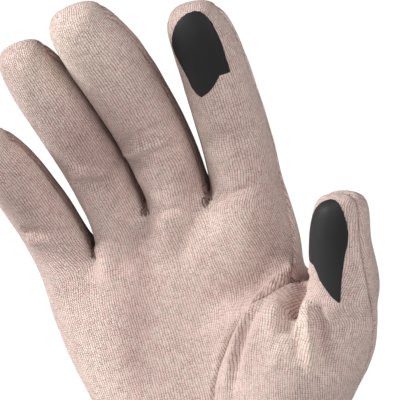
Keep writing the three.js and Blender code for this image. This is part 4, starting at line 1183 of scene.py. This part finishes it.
# The hem row: where the net crosses the top of the turned hem, in order round the wrist.
over_hem = cloth_points[:, 2] > HEM_TOP
crossing = keys[over_hem[keys // len(cloth_points)] != over_hem[keys % len(cloth_points)]]
hem_a, hem_b = crossing // len(cloth_points), crossing % len(cloth_points)
share = ((HEM_TOP - cloth_points[hem_a, 2]) / (cloth_points[hem_b, 2] - cloth_points[hem_a, 2]))[:, None]
hem_points = cloth_points[hem_a] * (1 - share) + cloth_points[hem_b] * share
hem_order = np.argsort(np.arctan2(hem_points[:, 1], hem_points[:, 0]))
hem_points, hem_ways = hem_points[hem_order], cloth_ways[hem_a][hem_order]
hem_runs = np.stack([np.arange(len(hem_points)), np.roll(np.arange(len(hem_points)), -1)], 1)
hem_stitches = stitch_object("hem_stitches", hem_points - hem_ways * HEM_SINK, hem_ways, hem_runs,
                             {"Step": 0.0027, "Length": 0.0021, "Bow": 0.0005, "Thickness": 0.00018,
                              "Turn": 0.0, "Seed": 9, "Material": sewing_yarn})
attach(hem_stitches, "root")

# Thread loops at the finger forks
# Where the seams of two fingers meet, the thread is knotted off and its slack lies in one or two
# small dark loops at the foot of the gap.
# Half thickness of the thread, the sides of its section and the steps along it.
LOOP_YARN = 0.24
LOOP_SIDES = 6
LOOP_STEPS = 24
# Each loop by its corners: across, up, out of the cloth.
FORK_LOOPS = [
    [(-1.5, 1.6, -0.5), (-1.6, 0.3, 0.35), (-0.9, -0.9, 0.45),
     (0.1, -0.9, 0.45), (0.5, 0.3, 0.4), (0.4, 1.4, -0.5)],
    [(-0.2, 1.2, -0.5), (-0.1, -0.3, 0.35), (0.7, -1.3, 0.5),
     (1.5, -0.7, 0.45), (1.5, 0.6, 0.35), (1.2, 1.8, -0.5)],
]
KNOT_LOOP = [(-0.8, 0.5, -0.4), (-0.5, -0.5, 0.3), (0.3, -0.6, 0.4), (0.8, 0.1, 0.3), (0.3, 0.6, -0.4)]


def yarn_tube(loop, base, across, up, out):
    """Corners and faces of a round yarn through the loop's corners, closed at both ends."""
    spots = [base + across * a + up * u + out * o for a, u, o in loop]
    line = [np.array([along([spot[axis] for spot in spots], k / LOOP_STEPS) for axis in range(3)])
            for k in range(LOOP_STEPS + 1)]
    ring_points, quads = [], []
    for k, middle in enumerate(line):
        run = line[min(k + 1, LOOP_STEPS)] - line[max(k - 1, 0)]
        side = np.cross(run, out)
        side /= max(np.linalg.norm(side), 1e-9)
        other = np.cross(run / np.linalg.norm(run), side)
        for n in range(LOOP_SIDES):
            turn = 2 * math.pi * n / LOOP_SIDES
            ring_points.append(middle + (side * math.cos(turn) + other * math.sin(turn)) * LOOP_YARN)
    for k in range(LOOP_STEPS):
        for n in range(LOOP_SIDES):
            a, b = k * LOOP_SIDES + n, k * LOOP_SIDES + (n + 1) % LOOP_SIDES
            quads.append((a, b, b + LOOP_SIDES, a + LOOP_SIDES))
    quads.append(tuple(range(LOOP_SIDES))[::-1])
    quads.append(tuple(range(LOOP_STEPS * LOOP_SIDES, (LOOP_STEPS + 1) * LOOP_SIDES)))
    return ring_points, quads


loop_points, loop_faces = [], []
knots = [(root_front[column], FORK_LOOPS) for column in (3, 6, 9)]
knots.append((hand_rings[0]["front"][SEAM_COLUMN], [KNOT_LOOP]))
for point, loops_here in knots:
    out = cloth_ways[point]
    across = np.cross((0, 0, 1), out)
    across = -across / np.linalg.norm(across)
    up = np.cross(across, -out)
    for loop in loops_here:
        more, quads = yarn_tube(loop, cloth_points[point], across, up, out)
        loop_faces += [tuple(i + len(loop_points) for i in quad) for quad in quads]
        loop_points += more
loop_mesh = bpy.data.meshes.new("thread_loops")
loop_mesh.from_pydata((np.array(loop_points) / 1000).tolist(), [], loop_faces)
loop_mesh.polygons.foreach_set("use_smooth", [True] * len(loop_faces))
loop_mesh.materials.append(knot_yarn)
thread_loops = scene_object("thread_loops", loop_mesh)
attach(thread_loops, "root")

# Index touch patch
# A thin film of smooth black conductive coating pressed onto the pad of the index fingertip,
# rounded over the tip and cut to a point below.

# Outlines of the patches, in rows from the point to the tip: left end and right end, each with
# its place up the fingertip from the middle of its ball and its place across it.
INDEX_PATCH = dict(reach=9, rows=[
    # left up, left across, right up, right across
    (-19.2, -3.1, -19.2, -2.8),
    (-18.6, -3.8, -18.6, -2.0),
    (-17.9, -4.3, -17.8, -0.7),
    (-16.3, -5.1, -16.2, 1.1),
    (-14.6, -5.4, -14.5, 2.7),
    (-13.2, -5.5, -13.1, 3.8),
    (-10.2, -6.2, -13.9, 6.2),
    (-9.2, -6.5, -11.4, 6.5),
    (-8.1, -6.8, -9.0, 6.6),
    (-5.8, -7.6, -6.0, 6.9),
    (-2.9, -8.0, -2.9, 7.1),
    (0.4, -7.4, 0.0, 7.3),
    (2.6, -6.6, 2.7, 7.2),
    (4.6, -5.5, 4.6, 6.5),
    (6.4, -4.0, 6.2, 5.5),
    (7.6, -2.2, 7.4, 4.2),
    (8.3, -0.2, 8.2, 2.4)])
THUMB_PATCH = dict(reach=9.6, rows=[
    (-22.6, 4.6, -22.6, 4.9),
    (-21.2, 3.2, -21.6, 5.1),
    (-18.8, 1.2, -19.6, 5.2),
    (-16.6, -0.9, -17.4, 5.4),
    (-14.4, -2.1, -15.4, 5.6),
    (-12.8, -3.5, -13.6, 5.8),
    (-12.6, -6.4, -11.4, 6.1),
    (-10.5, -7.4, -9.4, 6.4),
    (-7.5, -7.6, -7.0, 6.9),
    (-4.5, -7.4, -4.5, 7.4),
    (-1.5, -6.7, -1.5, 7.6),
    (1.8, -5.9, 1.8, 7.3),
    (4.4, -4.9, 4.8, 6.0),
    (6.6, -3.3, 6.8, 4.1),
    (7.7, -1.4, 7.8, 2.4),
    (8.1, 0.2, 8.1, 1.2)])
# Thickness of the film, its height over the cloth, the length of its faces, how far out the
# search for the cloth starts, and the number of faces across.
FILM = 0.16
FILM_LIFT = 0.1
FILM_STEP = 0.45
FILM_SEARCH = 12
FILM_COLUMNS = 32


def patch_object(name, patch, ball, axis, pad_way, cloth, material):
    """A thin film lying on the cloth of a fingertip, its edge rolled down to the cloth."""
    pad = pad_way - axis * (pad_way @ axis)
    pad /= np.linalg.norm(pad)
    side = np.cross(axis, pad)
    trees = [BVHTree.FromObject(piece, bpy.context.evaluated_depsgraph_get()) for piece in cloth]
    lines = []
    for low, high in zip(patch["rows"], patch["rows"][1:]):
        reach = max(math.hypot(high[0] - low[0], high[1] - low[1]),
                    math.hypot(high[2] - low[2], high[3] - low[3]))
        steps = max(1, round(reach / FILM_STEP))
        lines += [[mix(low[n], high[n], k / steps) for n in range(4)] for k in range(steps)]
    lines.append(patch["rows"][-1])
    outer, inner, flat = [], [], []
    for left_up, left, right_up, right in lines:
        for n in range(FILM_COLUMNS + 1):
            up = mix(left_up, right_up, n / FILM_COLUMNS)
            across = mix(left, right, n / FILM_COLUMNS) / patch["reach"]
            rise = max(up, 0) / patch["reach"]
            way = side * across + axis * rise + pad * math.sqrt(max(1 - across * across - rise * rise, 0))
            way /= np.linalg.norm(way)
            origin = ball + axis * min(up, 0)
            start = Vector(origin + way * FILM_SEARCH) / 1000
            hits = [tree.ray_cast(start, Vector(-way), FILM_SEARCH / 1000) for tree in trees]
            far = max(FILM_SEARCH - hit[3] * 1000 for hit in hits if hit[0] is not None)
            inner.append(origin + way * (far + FILM_LIFT))
            outer.append(origin + way * (far + FILM_LIFT + FILM))
            flat.append((across * patch["reach"], up))
    wide, count = FILM_COLUMNS + 1, len(outer)
    quads = []
    for r in range(len(lines) - 1):
        for n in range(FILM_COLUMNS):
            a = r * wide + n
            quads.append((a, a + 1, a + wide + 1, a + wide))
            quads.append((a + wide + count, a + wide + 1 + count, a + 1 + count, a + count))
        left, right = r * wide, r * wide + FILM_COLUMNS
        quads.append((left, left + wide, left + wide + count, left + count))
        quads.append((right + wide, right, right + count, right + wide + count))
    top = (len(lines) - 1) * wide
    for n in range(FILM_COLUMNS):
        quads.append((n + 1, n, n + count, n + 1 + count))
        quads.append((top + n, top + n + 1, top + n + 1 + count, top + n + count))
    mesh = bpy.data.meshes.new(name)
    mesh.from_pydata((np.array(outer + inner) / 1000).tolist(), [], quads)
    layer = mesh.uv_layers.new(name="film")
    both = np.array(flat + flat, np.float32)
    layer.data.foreach_set("uv", both[np.array(quads).reshape(-1)].reshape(-1))
    mesh.polygons.foreach_set("use_smooth", [True] * len(quads))
    mesh.materials.append(material)
    mesh.update()
    return scene_object(name, mesh)


film = plain_material("touch_film", {"Base Color": (0.017, 0.0165, 0.018, 1), "Roughness": 0.58,
                                     "Specular IOR Level": 0.22})[0]

# The middle of the index fingertip's ball lies this far below its tip.
BALL_BELOW = 9
index_ball, index_side, index_pad = finger_place(FINGERS[3], sum(FINGERS[3]["bones"]) - BALL_BELOW)
index_axis = np.cross(index_pad, index_side)
index_axis /= np.linalg.norm(index_axis)
index_patch = patch_object("index_touch_patch", INDEX_PATCH, index_ball, index_axis, index_pad,
                           (palm_panel, back_panel), film)
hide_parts("index_touch_patch")
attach(index_patch, "root")

# Thumb touch patch
# The same black film on the pad of the thumb, longer and drawn out to a point on one side,
# pressed on in the same way.
thumb_ball = np.array([THUMB_ROWS[3][k] for k in "xyz"], float)
thumb_axis = thumb_ball - np.array([THUMB_ROWS[1][k] for k in "xyz"], float)
thumb_axis /= np.linalg.norm(thumb_axis)
thumb_pad = thumb_place(THUMB_ROWS[3])[2]
thumb_patch = patch_object("thumb_touch_patch", THUMB_PATCH, thumb_ball, thumb_axis, thumb_pad,
                           (thumb_panel, back_panel), film)
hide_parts("thumb_touch_patch")
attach(thumb_patch, "root")

# Floor, light and camera
# A pale floor and soft light from the upper left, seen from the palm side. Floor and background
# show as even white to the camera and give the glove a weaker, softer light.
floor_mesh = bpy.data.meshes.new("floor")
FLOOR_SIDE, FLOOR_BACK, FLOOR_LEVEL = 4, 8, -0.002
floor_corners = [(x, y, FLOOR_LEVEL) for x, y in ((-FLOOR_SIDE, -FLOOR_SIDE), (FLOOR_SIDE, -FLOOR_SIDE),
                                                  (FLOOR_SIDE, FLOOR_BACK), (-FLOOR_SIDE, FLOOR_BACK))]
floor_mesh.from_pydata(floor_corners, [], [(0, 1, 2, 3)])
floor = scene_object("floor", floor_mesh)
# Strength of the white that the camera sees and of the room's light on the glove.
WHITE = 1.05
ROOM_LIGHT = 0.2


def seen_white(tree, lit, white, output):
    """The camera sees the white shader and the glove gets the light of the other."""
    rays = tree.nodes.new("ShaderNodeLightPath")
    feed(tree, white, {"Strength": WHITE})
    choice = add_node(tree, "ShaderNodeMixShader", {0: rays.outputs["Is Camera Ray"],
                                                    1: lit.outputs[0], 2: white.outputs[0]})
    feed(tree, tree.nodes[output], {"Surface": choice.outputs[0]})


floor_material, floor_shader = plain_material("floor", {"Base Color": (0.45, 0.45, 0.45, 1),
                                                        "Roughness": 0.9})
floor_tree = floor_material.node_tree
seen_white(floor_tree, floor_shader, floor_tree.nodes.new("ShaderNodeEmission"), "Material Output")
floor_mesh.materials.append(floor_material)

world = bpy.data.worlds.new("studio")
bpy.context.scene.world = world
world.use_nodes = True
background = world.node_tree.nodes["Background"]
feed(world.node_tree, background, {"Color": (1, 1, 1, 1), "Strength": ROOM_LIGHT})
white = add_node(world.node_tree, "ShaderNodeBackground", {"Color": (1, 1, 1, 1)})
seen_white(world.node_tree, background, white, "World Output")


def area_light(name, place, aim, size, power):
    """A round soft light at a place, turned to its aim."""
    data = bpy.data.lights.new(name, "AREA")
    data.shape = "DISK"
    data.size = size
    data.energy = power
    lamp = scene_object(name, data)
    lamp.location = place
    lamp.rotation_euler = (Vector(aim) - Vector(place)).to_track_quat("-Z", "Y").to_euler()


AIM = (0.015, -0.006, 0.157)
area_light("key", (-0.85, -0.45, 1.1), AIM, 0.25, 20)
area_light("left", (-1.3, -0.35, 0.28), AIM, 0.9, 5.5)
area_light("low_fill", (-0.3, -1.3, 0.06), AIM, 0.8, 6)
area_light("side_fill", (1.2, -0.75, 0.35), AIM, 1.0, 10.5)

# The camera's angle and distance, and the scale of the picture at the glove.
azimuth, elevation, roll = math.radians(18), math.radians(4), math.radians(18)
CAMERA_DISTANCE = 0.8
PICTURE_PIXELS = 400
PIXELS_PER_MM = 3.3
SENSOR_MM = 36
level = math.cos(elevation)
back_way = Vector((math.sin(azimuth) * level, -math.cos(azimuth) * level, math.sin(elevation)))
camera_data = bpy.data.cameras.new("camera")
camera_data.sensor_width = SENSOR_MM
camera_data.lens = SENSOR_MM * CAMERA_DISTANCE * 1000 / (PICTURE_PIXELS / PIXELS_PER_MM)
camera_data.clip_start = 0.01
camera = scene_object("camera", camera_data)
camera.location = Vector(AIM) + back_way * CAMERA_DISTANCE
camera.rotation_mode = "QUATERNION"
right_way = Vector((math.cos(azimuth), math.sin(azimuth), 0))
up_way = back_way.cross(right_way)
right_rolled = right_way * math.cos(roll) - up_way * math.sin(roll)
up_rolled = right_way * math.sin(roll) + up_way * math.cos(roll)
camera.rotation_quaternion = Matrix((right_rolled, up_rolled, back_way)).transposed().to_quaternion()
bpy.context.scene.camera = camera
bpy.context.scene.view_settings.view_transform = "Standard"
